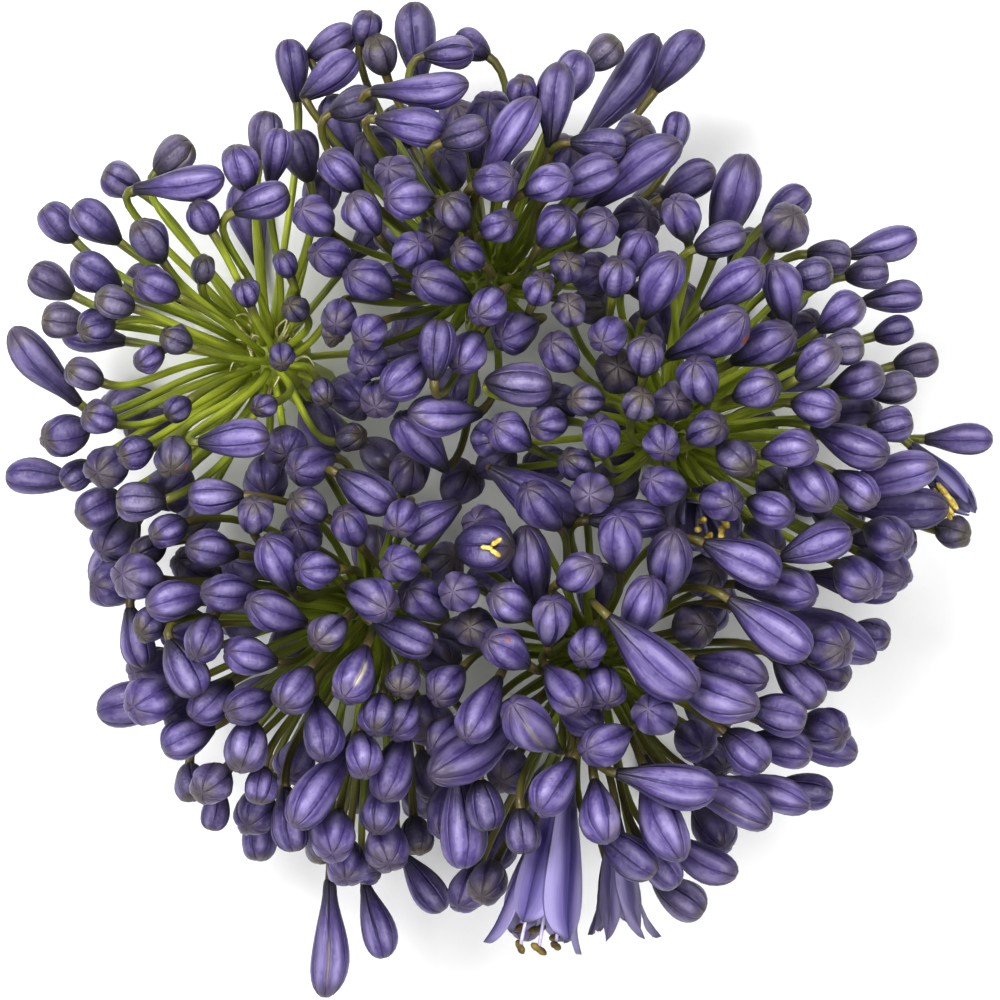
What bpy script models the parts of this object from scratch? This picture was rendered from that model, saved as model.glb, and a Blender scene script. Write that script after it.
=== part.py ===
# Agapanthus flower head: five cut umbels of violet buds, crowded face up into one head.
# Plan places are in millimetres from the middle of the head, +Y away from the viewer.
import math

import bpy
import numpy as np
from mathutils import Vector

mm = 0.001
seed = 7
golden = math.radians(137.50776)

# Each umbel: hub place, reach from the hub to the middle of its buds, ripeness from 0 to 1,
# radius of the thin middle that shows the hub, and where its scape is cut on the ground.
# Each umbel leans over those listed before it.
umbels = {
    "umbel_left": {"hub": (-46, 29, 38), "reach": 45, "ripe": 0.16, "window": 25, "cut": (-38, 24)},
    "umbel_lower_left": {"hub": (-27, -21, 38), "reach": 46, "ripe": 0.42, "window": 0, "cut": (-23, -18)},
    "umbel_top": {"hub": (-3, 45, 38), "reach": 46, "ripe": 0.45, "window": 0, "cut": (-2, 37)},
    "umbel_right": {"hub": (34, 15, 38), "reach": 47, "ripe": 0.34, "window": 0, "cut": (29, 13)},
    "umbel_lower_right": {"hub": (18, -30, 37), "reach": 46, "ripe": 0.60, "window": 0, "cut": (17, -27)},
}
leanOver = 0.31  # slope of the planes between neighbours
leanPivot = 11  # height above the hubs at which those planes stand halfway
hubRadius = 8.0
scapeRadius = 5.0
triangleSwell = 1.2  # a three-sided stalk is drawn this much larger, to keep a round one's thickness
pedicelRadius = 0.78
rootRadius = 0.58
youngAge = 0.45  # buds younger than this have five sides in place of six
budSpacing = 9.85  # plan distance between neighbouring buds
crowding = 5.5  # how far past its own cell an umbel still sends buds, which then press up against it
domeFlat = 2.7  # 2 gives a round dome of buds, more a flatter one
lowFlorets = 6  # below each hub, out of sight from above
stalkClearance = 0.2  # from each pedicel to the plane between its umbel and the next
budOverstep = 0.45  # how far a bud may pass that plane, where the next umbel's buds make way
groundGap = 0.4
footSink = 0.3  # share of its radius by which a foot bud is pressed flat on the ground
relaxSteps = 110
budGap = 0.35  # kept between buds while they settle
stalkGap = 0.2  # kept between a bud and the straight line of another's pedicel
homePull = 0.03  # share of the way home that a bud is drawn back in each step
markedPull = 0.18
stepLimit = 2.5
budDiscs = [(0.0, 0.2), (0.26, 0.82), (0.6, 1.0), (0.86, 0.7), (1.0, 0.0)]  # outline that planes must clear
# Umbels that lean on each other, and the gap between the round outlines of the two buds that meet.
# The buds' true six-sided outlines then stand about half a millimetre apart.
neighbours = [(0, 1, -0.1), (0, 2, -0.05), (1, 4, -0.4), (2, 3, -0.45), (3, 4, -0.4)]
headOffset = (-0.2, -1.1, 0.0)  # puts the middle of the whole head's box over the origin
infillCount = 95  # smaller buds that stand a little lower in the gaps of the crowd
infillHeights = (22, 26, 30, 35, 40, 45, 50, 55, 60, 65, 70, 75)
infillWidths = (8.1, 9.7)
infillStep = 2.0  # between the plan places that are tried
infillRoom = 0.7  # least plan distance from such a place to the buds round it
infillGap = 0.35  # kept from every other bud and pedicel
infillReach = (15, 52)  # from the hub
openMiddle = (-53, 35, 25)  # plan circle that stays open round the hub of the left umbel
keptShare = 0.765  # of the triangles after joining, which loses the slivers where pedicels meet
rootSpacing = 0.33  # between the roots of pedicels, as a share of the hub's radius
rootSteps = 40

# Florets that make the outline or stand out: plan places of the bud's base and tip, and its width.
markedFlorets = [
    # upper left
    (-85, 53, -91, 60, 7.6), (-72, 63, -79, 67, 7.0), (-68, 66, -61, 72, 7.4), (-71, 62, -53, 64, 7.2),
    (-40, 81, -42, 94, 6.6), (-38, 90, -28, 96, 7.0), (-41, 80, -30, 89, 7.6), (-28, 92, -26, 98, 6.2),
    (-23, 87, -25, 94, 7.2), (-48, 69, -46, 79, 7.0), (-43, 64, -41, 75, 6.4), (-50, 58, -39, 62, 7.6),
    (-75, 36, -81, 34, 6.6), (-71, 38, -78, 40, 6.8),
    # top
    (-15, 89, -5, 90, 6.6), (-2, 90, -9, 94, 6.4), (-25, 81, -6, 82, 7.4), (-33, 77, -24, 80, 7.2),
    (-24, 75, -10, 72, 7.8), (-11, 70, -2, 73, 7.4), (4, 78, 5, 83, 5.8), (10, 69, 12, 86, 7.6),
    (-4, 62, 7, 79, 8.2), (18, 88, 24, 93, 7.0), (31, 83, 40, 95, 7.8), (14, 70, 25, 69, 6.8),
    (17, 58, 35, 71, 8.6), (11, 61, 23, 66, 8.0), (34, 69, 36, 79, 5.8), (33, 60, 44, 66, 7.6),
    # right
    (38, 50, 48, 53, 7.4), (53, 56, 62, 63, 7.4), (70, 50, 84, 54, 7.4), (61, 50, 70, 49, 6.8),
    (69, 46, 78, 47, 6.6), (57, 44, 65, 46, 6.8), (73, 41, 85, 42, 6.8), (79, 28, 88, 30, 6.8),
    (75, 34, 83, 36, 6.2), (62, 30, 71, 31, 6.8), (73, 22, 82, 24, 6.8), (72, 15, 81, 17, 7.0),
    (85, 13, 99, 13, 6.6), (66, 3, 86, 8, 8.6), (70, -1, 90, -1, 8.4), (88, -5, 94, -6, 6.4),
    (70, -7, 84, -6, 8.8), (54, -11, 68, -6, 8.2), (40, -6, 55, -13, 9.0), (62, -14, 80, -17, 8.2),
    (70, -27, 78, -28, 7.0),
    # lower right
    (49, -15, 77, -25, 9.8), (45, -17, 61, -28, 9.6), (21, -21, 38, -36, 10.4), (22, -51, 42, -54, 9.0),
    (17, -63, 28, -71, 8.4), (42, -54, 61, -59, 7.4), (56, -56, 67, -58, 7.6), (54, -30, 63, -39, 8.0),
    (44, -44, 52, -51, 8.6), (49, -39, 60, -42, 8.6), (31, -65, 47, -73, 7.6), (31, -75, 41, -82, 8.0),
    (27, -66, 34, -75, 7.6), (22, -72, 26, -79, 7.2), (62, -31, 70, -35, 8.0),
    # lower left
    (-8, -52, -7, -71, 9.4), (-4, -53, -2, -63, 8.0), (5, -59, 6, -68, 6.8), (-17, -71, -9, -82, 7.2),
    (-27, -76, -23, -91, 7.2), (-34, -75, -35, -99, 7.8), (-31, -72, -24, -73, 6.8),
    (-36, -63, -34, -71, 7.8), (-42, -55, -40, -68, 7.8), (-48, -62, -48, -71, 7.8),
    (-56, -57, -58, -65, 6.0), (-62, -52, -61, -59, 6.8), (-48, -42, -50, -51, 9.0),
    (-17, -62, -16, -69, 6.8), (-46, -51, -47, -58, 6.4),
    # left
    (-83, 20, -96, 35, 8.0), (-81, 15, -89, 13, 8.6), (-75, 16, -80, 18, 6.4), (-85, 5, -99, 6, 7.8),
    (-75, 2, -83, -2, 8.4), (-65, 1, -75, 1, 7.8), (-67, -5, -73, -8, 6.4), (-61, -4, -67, -7, 6.8),
    (-72, -5, -80, -19, 9.0), (-73, -20, -70, -32, 7.0), (-66, -21, -70, -25, 6.8), (-64, -26, -58, -37, 8.6),
    (-50, 4, -61, 4, 7.4), (-58, 11, -44, 12, 7.8), (-62, 13, -63, 7, 7.6),
    # middle
    (0, 13, 18, 3, 10.0), (-13, 24, -12, 36, 7.4), (-31, 8, -20, 1, 8.0), (-5, 26, 8, 25, 9.0),
    (19, 0, 34, 0, 7.8), (-20, -23, -8, -28, 7.6), (-8, -8, 3, -8, 10.0),
]

# Open flowers: plan places of the base and the mouth's middle, drop of the mouth below the base,
# length, how wide the tepals spread at their tips, and the stamens that show.
openFlowers = [
    {"base": (17.5, -51.5), "mouth": (12, -84), "drop": 6, "length": 40, "spread": 11.0, "threads": 6},
    {"base": (24, -60), "mouth": (24.5, -85), "drop": 14, "length": 31, "spread": 8.0, "threads": 0},
    {"base": (37, -9), "mouth": (39, -15), "drop": -12, "length": 17, "spread": 7.5, "threads": 6},
    {"base": (83, 12), "mouth": (95, -1), "drop": 1, "length": 19, "spread": 4.0, "threads": 0},
]


def unit(v):
    return v / np.maximum(np.linalg.norm(v, axis=-1, keepdims=True), 1e-9)


def hubPlaces():
    return np.array([u["hub"] for u in umbels.values()], float)


def nearestHub(plan):
    """Index of the umbel whose hub is nearest in plan."""
    gaps = np.linalg.norm(plan[:, None, :] - hubPlaces()[None, :, :2], axis=2)
    return gaps.argmin(axis=1)


def domeHeight(owner, plan):
    """Height of a bud's middle: on a ball round its hub, or a little below the hub past the ball."""
    hub = hubPlaces()[owner]
    reach = np.array([u["reach"] for u in umbels.values()], float)[owner]
    r = np.linalg.norm(plan - hub[:, :2], axis=1)
    rise = reach * np.maximum(1 - (r / reach) ** domeFlat, 0) ** (1 / domeFlat)
    return hub[:, 2] + rise - 0.12 * np.maximum(r - reach, 0)


def pastCell(owner, points):
    """Distance of points past the sloping plane to each other hub, negative inside, and its normals."""
    hubs = hubPlaces()
    across = hubs[None] - hubs[owner][:, None]
    span = np.linalg.norm(across, axis=2, keepdims=True)
    rank = np.sign(np.arange(len(hubs))[None] - owner[:, None])[..., None]
    normal = unit(across + rank * span * leanOver * np.array([0, 0, 1.0]))
    pivot = (hubs[None] + hubs[owner][:, None]) / 2 + [0, 0, leanPivot]
    past = ((points[:, None] - pivot) * normal).sum(2)
    past[np.arange(len(owner)), owner] = -1e3
    return past, normal


def ownCell(points):
    """Index of the umbel whose cell holds each point."""
    worst = [pastCell(np.full(len(points), i), points)[0].max(axis=1) for i in range(len(umbels))]
    return np.argmin(worst, axis=0)


def turnAlong(owner, middle, axis):
    """Buds near a neighbouring umbel turn up along the plane between them."""
    past, normal = pastCell(owner, middle)
    near = np.clip(1 + past / 15, 0, 1)
    toward = np.maximum((axis[:, None] * normal).sum(2), 0)
    turned = axis - (normal * (near * toward)[..., None]).sum(1)
    turned[:, 2] += 0.2 * near.max(axis=1)
    return unit(turned)


def budLength(width, age):
    """Length from width: round at age 0, egg at 0.5, club at 1."""
    return width * (1.15 + 0.75 * age + 2.0 * np.maximum(age - 0.45, 0))


def markedRows():
    """Marked florets as owner, middle, axis, length, width and age."""
    rows = np.array(markedFlorets, float)
    base, tip, width = rows[:, 0:2], rows[:, 2:4], rows[:, 4]
    middle = (base + tip) / 2
    seat = base * 0.6 + tip * 0.4
    owner = ownCell(np.column_stack([seat, domeHeight(nearestHub(seat), seat)]))
    plan = np.linalg.norm(tip - base, axis=1)
    slender = plan / width
    age = np.clip((slender - 1.0) / 1.75, 0.05, 1.0)
    length = np.maximum(budLength(width, age), plan)
    rise = np.sqrt(np.maximum(length ** 2 - plan ** 2, 0))
    axis = unit(np.column_stack([tip - base, rise]))
    height = domeHeight(owner, middle)
    return owner, np.column_stack([middle, height]), axis, length, width, age


def spiralRows(rng, taken):
    """Florets on a sunflower spiral round each hub, kept in its own cell and off the marked ones."""
    hubs = hubPlaces()
    owners, middles, ages, shrinks = [], [], [], []
    for index, u in enumerate(umbels.values()):
        k = np.arange(90)
        r = budSpacing / math.sqrt(math.pi) * np.sqrt(k + 0.4)
        turn = k * golden + index * 1.3
        plan = hubs[index, :2] + np.column_stack([r * np.cos(turn), r * np.sin(turn)])
        plan += rng.normal(0, 1.0, plan.shape)
        inWindow = r < u["window"]
        owner = np.full(len(k), index)
        height = domeHeight(owner, plan)
        placed = np.column_stack([plan, height])
        keep = (pastCell(owner, placed)[0].max(axis=1) < crowding) & (r < u["reach"] + 2)
        keep &= ~(inWindow & (k % 3 == 1))
        keep &= np.linalg.norm(plan[:, None] - taken[None], axis=2).min(axis=1) > 6.4
        age = u["ripe"] + 0.3 * (r / u["reach"] - 0.5) + rng.normal(0, 0.16, len(k))
        age = np.where(inWindow, age * 0.4 - 0.12, age)
        drop = np.where(inWindow, 12 + 10 * rng.random(len(k)), rng.random(len(k)) * 5)
        owners.append(owner[keep])
        middles.append(np.column_stack([plan, height - drop])[keep])
        ages.append(age[keep])
        shrinks.append(np.where(inWindow, 0.82, 1.0)[keep])
    owner, middle = np.concatenate(owners), np.concatenate(middles)
    age = np.clip(np.concatenate(ages), 0, 1)
    width = (6.5 + 3.1 * age + rng.normal(0, 0.3, len(age))) * np.concatenate(shrinks)
    outward = unit(middle - hubs[owner])
    sideways = unit(outward * [1, 1, 0] + rng.normal(0, 0.35, outward.shape) * [1, 1, 0])
    axis = turnAlong(owner, middle, unit(outward + 0.75 * sideways))
    return owner, middle, axis, budLength(width, age), width, age


def lowRows(rng):
    """Florets that nod below each hub. The first of each umbel is its foot on the ground."""
    hubs = hubPlaces()
    owners, middles, feet = [], [], []
    for index, u in enumerate(umbels.values()):
        out = math.atan2(hubs[index, 1], hubs[index, 0])
        swing = np.array([0, 48, -48, 96, -96, 24, -24, 72, -72][:lowFlorets]) * math.radians(1)
        turn = out + swing
        dip = np.radians([47, 47, 47, 30, 30, 22, 22, 14, 14][:lowFlorets])
        reach = np.array([44, 45, 45, 40, 40, 39, 39, 38, 38][:lowFlorets]) + rng.normal(0, 0.6, lowFlorets)
        away = np.column_stack([np.cos(turn) * np.cos(dip), np.sin(turn) * np.cos(dip), -np.sin(dip)])
        owners.append(np.full(lowFlorets, index))
        middles.append(hubs[index] + away * reach[:, None])
        feet.append(np.arange(lowFlorets) < 3)
    owner, middle, foot = np.concatenate(owners), np.concatenate(middles), np.concatenate(feet)
    age = np.clip(0.4 + rng.normal(0, 0.12, len(owner)), 0.2, 0.8)
    width = np.where(foot, 8.4, 7.2)
    axis = unit(middle - hubs[owner] + [0, 0, 14])
    axis[foot] = unit(axis[foot] * [1, 1, 0.15])
    return owner, middle, axis, budLength(width, age), width, age, foot


def flowerGuards():
    """Florets that only keep room for the open flowers while the others settle."""
    base = np.array([f["base"] for f in openFlowers], float)
    mouth = np.array([f["mouth"] for f in openFlowers], float)
    drop = np.array([f["drop"] for f in openFlowers], float)
    length = np.array([f["length"] for f in openFlowers], float)
    spread = np.array([f["spread"] for f in openFlowers], float)
    owner = nearestHub(base)
    middle = (base + mouth) / 2
    height = domeHeight(owner, middle)
    axis = unit(np.column_stack([mouth - base, -drop]))
    return owner, np.column_stack([middle, height]), axis, length, spread * 1.5, np.ones(len(base))


def nearestPoints(a0, a1, b0, b1):
    """Nearest points of every segment a to every segment b, as arrays of shape (a, b, 3)."""
    u, v = (a1 - a0)[:, None], (b1 - b0)[None]
    w = a0[:, None] - b0[None]
    uu, vv, uv = (u * u).sum(-1), (v * v).sum(-1), (u * v).sum(-1)
    uw, vw = (u * w).sum(-1), (v * w).sum(-1)
    s = np.clip((uv * vw - vv * uw) / np.maximum(uu * vv - uv ** 2, 1e-6), 0, 1)
    t = np.clip((uv * s + vw) / np.maximum(vv, 1e-6), 0, 1)
    s = np.clip((uv * t - uw) / np.maximum(uu, 1e-6), 0, 1)
    return a0[:, None] + s[..., None] * u, b0[None] + t[..., None] * v


def cellShift(owner, points, radius, axis, room):
    """Shift that brings discs of this radius across axis back inside their umbel's own cell."""
    moved = points.copy()
    rows = np.arange(len(points))
    for _ in range(2):
        past, normal = pastCell(owner, moved)
        lateral = np.sqrt(np.maximum(1 - (normal * axis[:, None]).sum(2) ** 2, 0))
        excess = np.maximum(past + radius[:, None] * lateral + room, 0)
        worst = excess.argmax(axis=1)
        moved -= normal[rows, worst] * excess[rows, worst][:, None]
    return moved - points


def settle(owner, middle, axis, length, width, foot, marked):
    """Moves buds apart until none touch, holding them near home, in their cells and off the ground."""
    hubs = hubPlaces()
    cuts = np.array([u["cut"] for u in umbels.values()], float)
    home = middle.copy()
    radius = width * 0.5
    half = np.maximum(length / 2 - radius, 0.1)[:, None]
    pull = np.where(marked, markedPull, homePull)[:, None] * [1, 1, 0.15]
    scapeEnd = np.column_stack([cuts, np.zeros(len(cuts))])
    for _ in range(relaxSteps):
        move = (home - middle) * pull
        a0, a1 = middle - axis * half, middle + axis * half
        pa, pb = nearestPoints(a0, a1, a0, a1)
        apart = pa - pb
        gap = np.linalg.norm(apart, axis=2)
        need = radius[:, None] + radius[None] + budGap - gap
        np.fill_diagonal(need, 0)
        move += 0.5 * (unit(apart) * np.maximum(need, 0)[..., None]).sum(1)
        base = middle - axis * (length / 2)[:, None]
        start = hubs[owner] + unit(base - hubs[owner]) * hubRadius * 1.6
        s0, s1 = np.concatenate([start, hubs]), np.concatenate([base - axis * 1.5, scapeEnd])
        thick = np.concatenate([np.full(len(base), pedicelRadius), np.full(len(hubs), scapeRadius + 1)])
        pa, pb = nearestPoints(a0, a1, s0, s1)
        apart = pa - pb
        need = radius[:, None] + thick[None] + stalkGap - np.linalg.norm(apart, axis=2)
        need[np.arange(len(base)), np.arange(len(base))] = 0
        push = unit(apart) * np.maximum(need, 0)[..., None]
        move += 0.3 * push.sum(1)
        move -= 0.12 * push[:, :len(base)].sum(0)
        middle = middle + np.clip(move, -stepLimit, stepLimit)
        for along, share in budDiscs:
            disc = middle + axis * (length * (along - 0.5))[:, None]
            middle = middle + cellShift(owner, disc, radius * share, axis, -budOverstep)
        low = np.minimum(middle[:, 2] - np.abs(axis[:, 2]) * half[:, 0], middle[:, 2])
        lift = radius + groundGap - low
        middle[:, 2] += np.where(foot, 0, np.maximum(lift, 0))
        middle[foot, 2] = radius[foot] * (1 - footSink)
    return middle


def pressTogether(owner, middle, axis, length, width, flower):
    """Brings the nearest two buds of each pair of neighbouring umbels together, so that they lean on
    each other."""
    radius = width * 0.5
    half = np.maximum(length / 2 - radius, 0.1)[:, None]
    for one, other, meetingGap in neighbours:
        a0, a1 = middle - axis * half, middle + axis * half
        pa, pb = nearestPoints(a0, a1, a0, a1)
        apart = pb - pa
        gap = np.linalg.norm(apart, axis=2) - radius[:, None] - radius[None]
        gap[(owner != one) | flower] = 1e3
        gap[:, (owner != other) | flower] = 1e3
        i, j = np.unravel_index(gap.argmin(), gap.shape)
        shift = unit(apart[i, j]) * (gap[i, j] - meetingGap) / 2
        middle[i] += shift
        middle[j] -= shift
    return middle


def infillPlaces(f):
    """Places that may take an infill bud: in one umbel's own cell, off the open middle, and with
    room round them when they are seen from above. Returns owners, middles and that room."""
    hubs = hubPlaces()
    steps = np.arange(-80, 80.1, infillStep)
    x, y = [a.ravel() for a in np.meshgrid(steps, steps)]
    middle = f["base"] + f["axis"] * (f["length"] / 2)[:, None]
    half = f["axis"] * np.maximum(f["length"] / 2 - f["width"] / 2, 0.1)[:, None]
    a0, a1 = (middle - half) * [1, 1, 0], (middle + half) * [1, 1, 0]
    found = []
    for z in infillHeights:
        points = np.column_stack([x, y, np.full(len(x), z)])
        owner = ownCell(points)
        away = np.linalg.norm(points - hubs[owner], axis=1)
        fromOpen = np.linalg.norm(points[:, :2] - openMiddle[:2], axis=1)
        ok = (away > infillReach[0]) & (away < infillReach[1]) & (fromOpen > openMiddle[2])
        ok &= np.linalg.norm(points[:, :2], axis=1) < 78
        points, owner = points[ok], owner[ok]
        flat = points * [1, 1, 0]
        pa, pb = nearestPoints(flat, flat + [0, 0, 1e-3], a0, a1)
        room = np.linalg.norm(pa - pb, axis=2) - f["width"][None] / 2
        room = np.where(middle[None, :, 2] > z - 7, room, 9)
        found.append(np.column_stack([owner, points, room.min(axis=1)]))
    found = np.concatenate(found)
    found = found[found[:, 4] > infillRoom]
    return found[:, 0].astype(int), found[:, 1:4], found[:, 4]


def infillRows(f, curves, rng):
    """Infill buds, each where the crowd is most open and nothing is in the way of the bud or its stalk."""
    hubs = hubPlaces()
    owner, middle, room = infillPlaces(f)
    width = rng.uniform(*infillWidths, len(owner))
    age = 0.22 + 0.3 * rng.random(len(owner))
    length = budLength(width, age)
    axis = unit(unit(middle - hubs[owner]) + [0, 0, 0.9])
    half = np.maximum(length / 2 - width / 2, 0.1)[:, None]
    a0, a1 = middle - axis * half, middle + axis * half
    s0, s1 = hubs[owner] + unit(middle - hubs[owner]) * 12, middle - axis * (length / 2)[:, None]
    others = f["base"] + f["axis"] * (f["length"] / 2)[:, None]
    span = f["axis"] * np.maximum(f["length"] / 2 - f["width"] / 2, 0.1)[:, None]
    pa, pb = nearestPoints(a0, a1, others - span, others + span)
    clear = np.linalg.norm(pa - pb, axis=2) - (width[:, None] + f["width"][None]) / 2
    ok = clear.min(axis=1) > infillGap
    pa, pb = nearestPoints(s0, s1, others - span, others + span)
    clear = np.linalg.norm(pa - pb, axis=2) - f["width"][None] / 2
    ok &= clear.min(axis=1) > pedicelRadius * 0.6
    line = np.stack([bezier(curves.transpose(1, 0, 2), share) for share in np.linspace(0.15, 1, 14)])
    p0, p1 = line[:-1].reshape(-1, 3), line[1:].reshape(-1, 3)
    for start in range(0, len(owner), 400):
        some = slice(start, start + 400)
        pa, pb = nearestPoints(a0[some], a1[some], p0, p1)
        clear = np.linalg.norm(pa - pb, axis=2).min(axis=1) - width[some] / 2
        ok[some] &= clear > pedicelRadius + infillGap
    past, _ = pastCell(owner, middle)
    ok &= (past + width[:, None] / 2).max(axis=1) < 0.2
    chosen = []
    score = np.where(ok, room + middle[:, 2] * 0.03, -1)
    for _ in range(infillCount):
        best = int(score.argmax())
        if score[best] < 0:
            break
        chosen.append(best)
        pa, pb = nearestPoints(a0, a1, a0[best:best + 1], a1[best:best + 1])
        clear = np.linalg.norm(pa - pb, axis=2)[:, 0] - (width + width[best]) / 2
        score[clear < infillGap] = -1
        pa, pb = nearestPoints(a0, a1, s0[best:best + 1], s1[best:best + 1])
        score[np.linalg.norm(pa - pb, axis=2)[:, 0] < width / 2 + pedicelRadius + infillGap] = -1
        plan = np.linalg.norm((middle - middle[best])[:, :2], axis=1) - width[best] / 2
        lower = middle[:, 2] < middle[best, 2] + 7
        score = np.where(lower & (score > 0), np.minimum(score, plan + middle[:, 2] * 0.03), score)
        score[lower & (plan < infillRoom)] = -1
    chosen = np.array(chosen, int)
    return [a[chosen] for a in (owner, middle, axis, length, width, age)]


def layOut():
    """Every floret of the head: a dictionary of arrays, with the open flowers last."""
    rng = np.random.default_rng(seed)
    marked = markedRows()
    guards = flowerGuards()
    spiral = spiralRows(rng, np.concatenate([marked[1][:, :2], guards[1][:, :2]]))
    low = lowRows(rng)
    parts = [marked, spiral, low[:6], guards]
    owner, middle, axis, length, width, age = [np.concatenate([p[i] for p in parts]) for i in range(6)]
    n = len(owner)
    foot = np.zeros(n, bool)
    foot[len(marked[0]) + len(spiral[0]):][:len(low[6])] = low[6]
    axis[foot, 2] = 0
    axis = unit(axis)
    held = np.zeros(n, bool)
    held[:len(marked[0])] = True
    held[-len(openFlowers):] = True
    middle = settle(owner, middle, axis, length, width, foot, held)
    flower = np.arange(n) >= n - len(openFlowers)
    middle = pressTogether(owner, middle, axis, length, width, flower)
    crowd = {
        "owner": owner, "base": middle - axis * (length / 2)[:, None], "axis": axis, "length": length,
        "width": width, "age": age, "foot": foot, "spin": rng.random(n) * math.tau,
        "flower": flower,
    }
    return withInfill(crowd, infillRows(crowd, pedicelCurves(crowd), rng), rng)


def withInfill(crowd, rows, rng):
    """The crowd with its infill buds, put before the open flowers, which stay last."""
    owner, middle, axis, length, width, age = rows
    n = len(owner)
    extra = {
        "owner": owner, "base": middle - axis * (length / 2)[:, None], "axis": axis, "length": length,
        "width": width, "age": age, "foot": np.zeros(n, bool), "spin": rng.random(n) * math.tau,
        "flower": np.zeros(n, bool),
    }
    last = len(crowd["owner"]) - len(openFlowers)
    return {key: np.concatenate([a[:last], extra[key], a[last:]]) for key, a in crowd.items()}


def spreadRoots(owner, way):
    """Turns the directions in which pedicels leave one hub apart, so that their roots stand evenly."""
    same = owner[:, None] == owner[None]
    for _ in range(rootSteps):
        apart = way[:, None] - way[None]
        gap = np.linalg.norm(apart, axis=2)
        need = np.where(same, np.maximum(rootSpacing - gap, 0), 0)
        np.fill_diagonal(need, 0)
        way = unit(way + 0.35 * (unit(apart) * need[..., None]).sum(1))
    return way


def pedicelCurves(f):
    """Control points (n, 4, 3) of each pedicel: out of the hub, arching up, then in along the bud."""
    hubs = hubPlaces()
    hub = hubs[f["owner"]]
    way = spreadRoots(f["owner"], unit(f["base"] - hub + [0, 0, 6]))
    far = np.linalg.norm(f["base"] - hub, axis=1)[:, None]
    p0 = hub + way * hubRadius * 0.55
    p1 = hub + way * far * 0.5
    p2 = f["base"] - f["axis"] * np.minimum(far * 0.3, 9)
    for p in (p1, p2):
        thick = np.full(len(p), pedicelRadius * 1.3)
        p += cellShift(f["owner"], p, thick, f["axis"] * 0, stalkClearance)
        p[:, 2] = np.maximum(p[:, 2], pedicelRadius + groundGap)
    return np.stack([p0, p1, p2, f["base"]], axis=1)


def bezier(curve, t):
    a, b, c, d = curve
    s = 1 - t
    return a * s ** 3 + b * 3 * s * s * t + c * 3 * s * t * t + d * t ** 3


def frameAlong(points, last):
    """Side vectors for each point, carried back from the last one without twist."""
    sides = [last]
    for i in range(len(points) - 2, -1, -1):
        way = unit(points[i + 1] - points[i])
        side = sides[-1] - way * np.dot(sides[-1], way)
        sides.append(unit(side))
    return sides[::-1]


def ring(centre, way, side, radius, count):
    """A regular ring of points across way, the first of them at side."""
    other = np.cross(way, side)
    angles = np.arange(count) * math.tau / count
    return [centre + (side * math.cos(a) + other * math.sin(a)) * radius for a in angles]


def acrossOf(way):
    """A unit vector across way."""
    helper = np.array([0, 0, 1.0]) if abs(way[2]) < 0.9 else np.array([1.0, 0, 0])
    return unit(np.cross(helper, way))


def joinRings(faces, a, b, count):
    """Triangles between two rings of count points that start at indices a and b."""
    for k in range(count):
        n = (k + 1) % count
        faces.append((a + k, a + n, b + n))
        faces.append((a + k, b + n, b + k))


def pedicelRings(curve, side, steps, verts, faces):
    """A three-sided stalk from inside the hub to the bud's base. Returns its last ring's first index."""
    points = [bezier(curve, t) for t in steps]
    sides = frameAlong(points, side)
    start = len(verts)
    for i, p in enumerate(points):
        way = unit(points[min(i + 1, len(points) - 1)] - points[max(i - 1, 0)])
        across = unit(sides[i] - way * np.dot(sides[i], way))
        verts.extend(ring(p, way, across, (pedicelRadius if i else rootRadius) * triangleSwell, 3))
        if i:
            joinRings(faces, start + 3 * i - 3, start + 3 * i, 3)
    faces.append((start, start + 2, start + 1))
    return start + 3 * (len(points) - 1)


def widen(faces, three, wide, count):
    """Joins a ring of three to a ring of five or six."""
    k = 0
    for i in range(count):
        faces.append((three + k, wide + (i + 1) % count, wide + i))
        if (i + 1.5) / count > (k + 0.85) / 3:
            faces.append((three + k, three + (k + 1) % 3, wide + (i + 1) % count))
            k = (k + 1) % 3


def budProfile(age):
    """Rings of a bud as (share of length, share of half width)."""
    if age < 0.34:
        return [(0.22, 0.88), (0.72, 0.92)]
    if age < 0.62:
        return [(0.26, 0.80), (0.70, 1.0)]
    return [(0.16, 0.42), (0.58, 1.02), (0.86, 0.66)]


def floretMesh(curve, base, axis, length, width, age, spin):
    verts, faces = [], []
    across = acrossOf(axis)
    side = across * math.cos(spin) + np.cross(axis, across) * math.sin(spin)
    straight = np.dot(unit(curve[1] - curve[0]), axis)
    steps = (0, 0.4, 0.75, 1.0) if straight < 0.4 else (0, 0.55, 1.0) if straight < 0.93 else (0, 1.0)
    last = pedicelRings(curve, side, steps, verts, faces)
    previous = None
    sides = 5 if age < youngAge else 6
    for along, share in budProfile(age):
        here = len(verts)
        verts.extend(ring(base + axis * length * along, axis, side, width / 2 * share, sides))
        if previous is None:
            widen(faces, last, here, sides)
        else:
            joinRings(faces, previous, here, sides)
        previous = here
    tip = len(verts)
    verts.append(base + axis * length)
    for k in range(sides):
        faces.append((previous + k, previous + (k + 1) % sides, tip))
    return verts, faces


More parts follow.
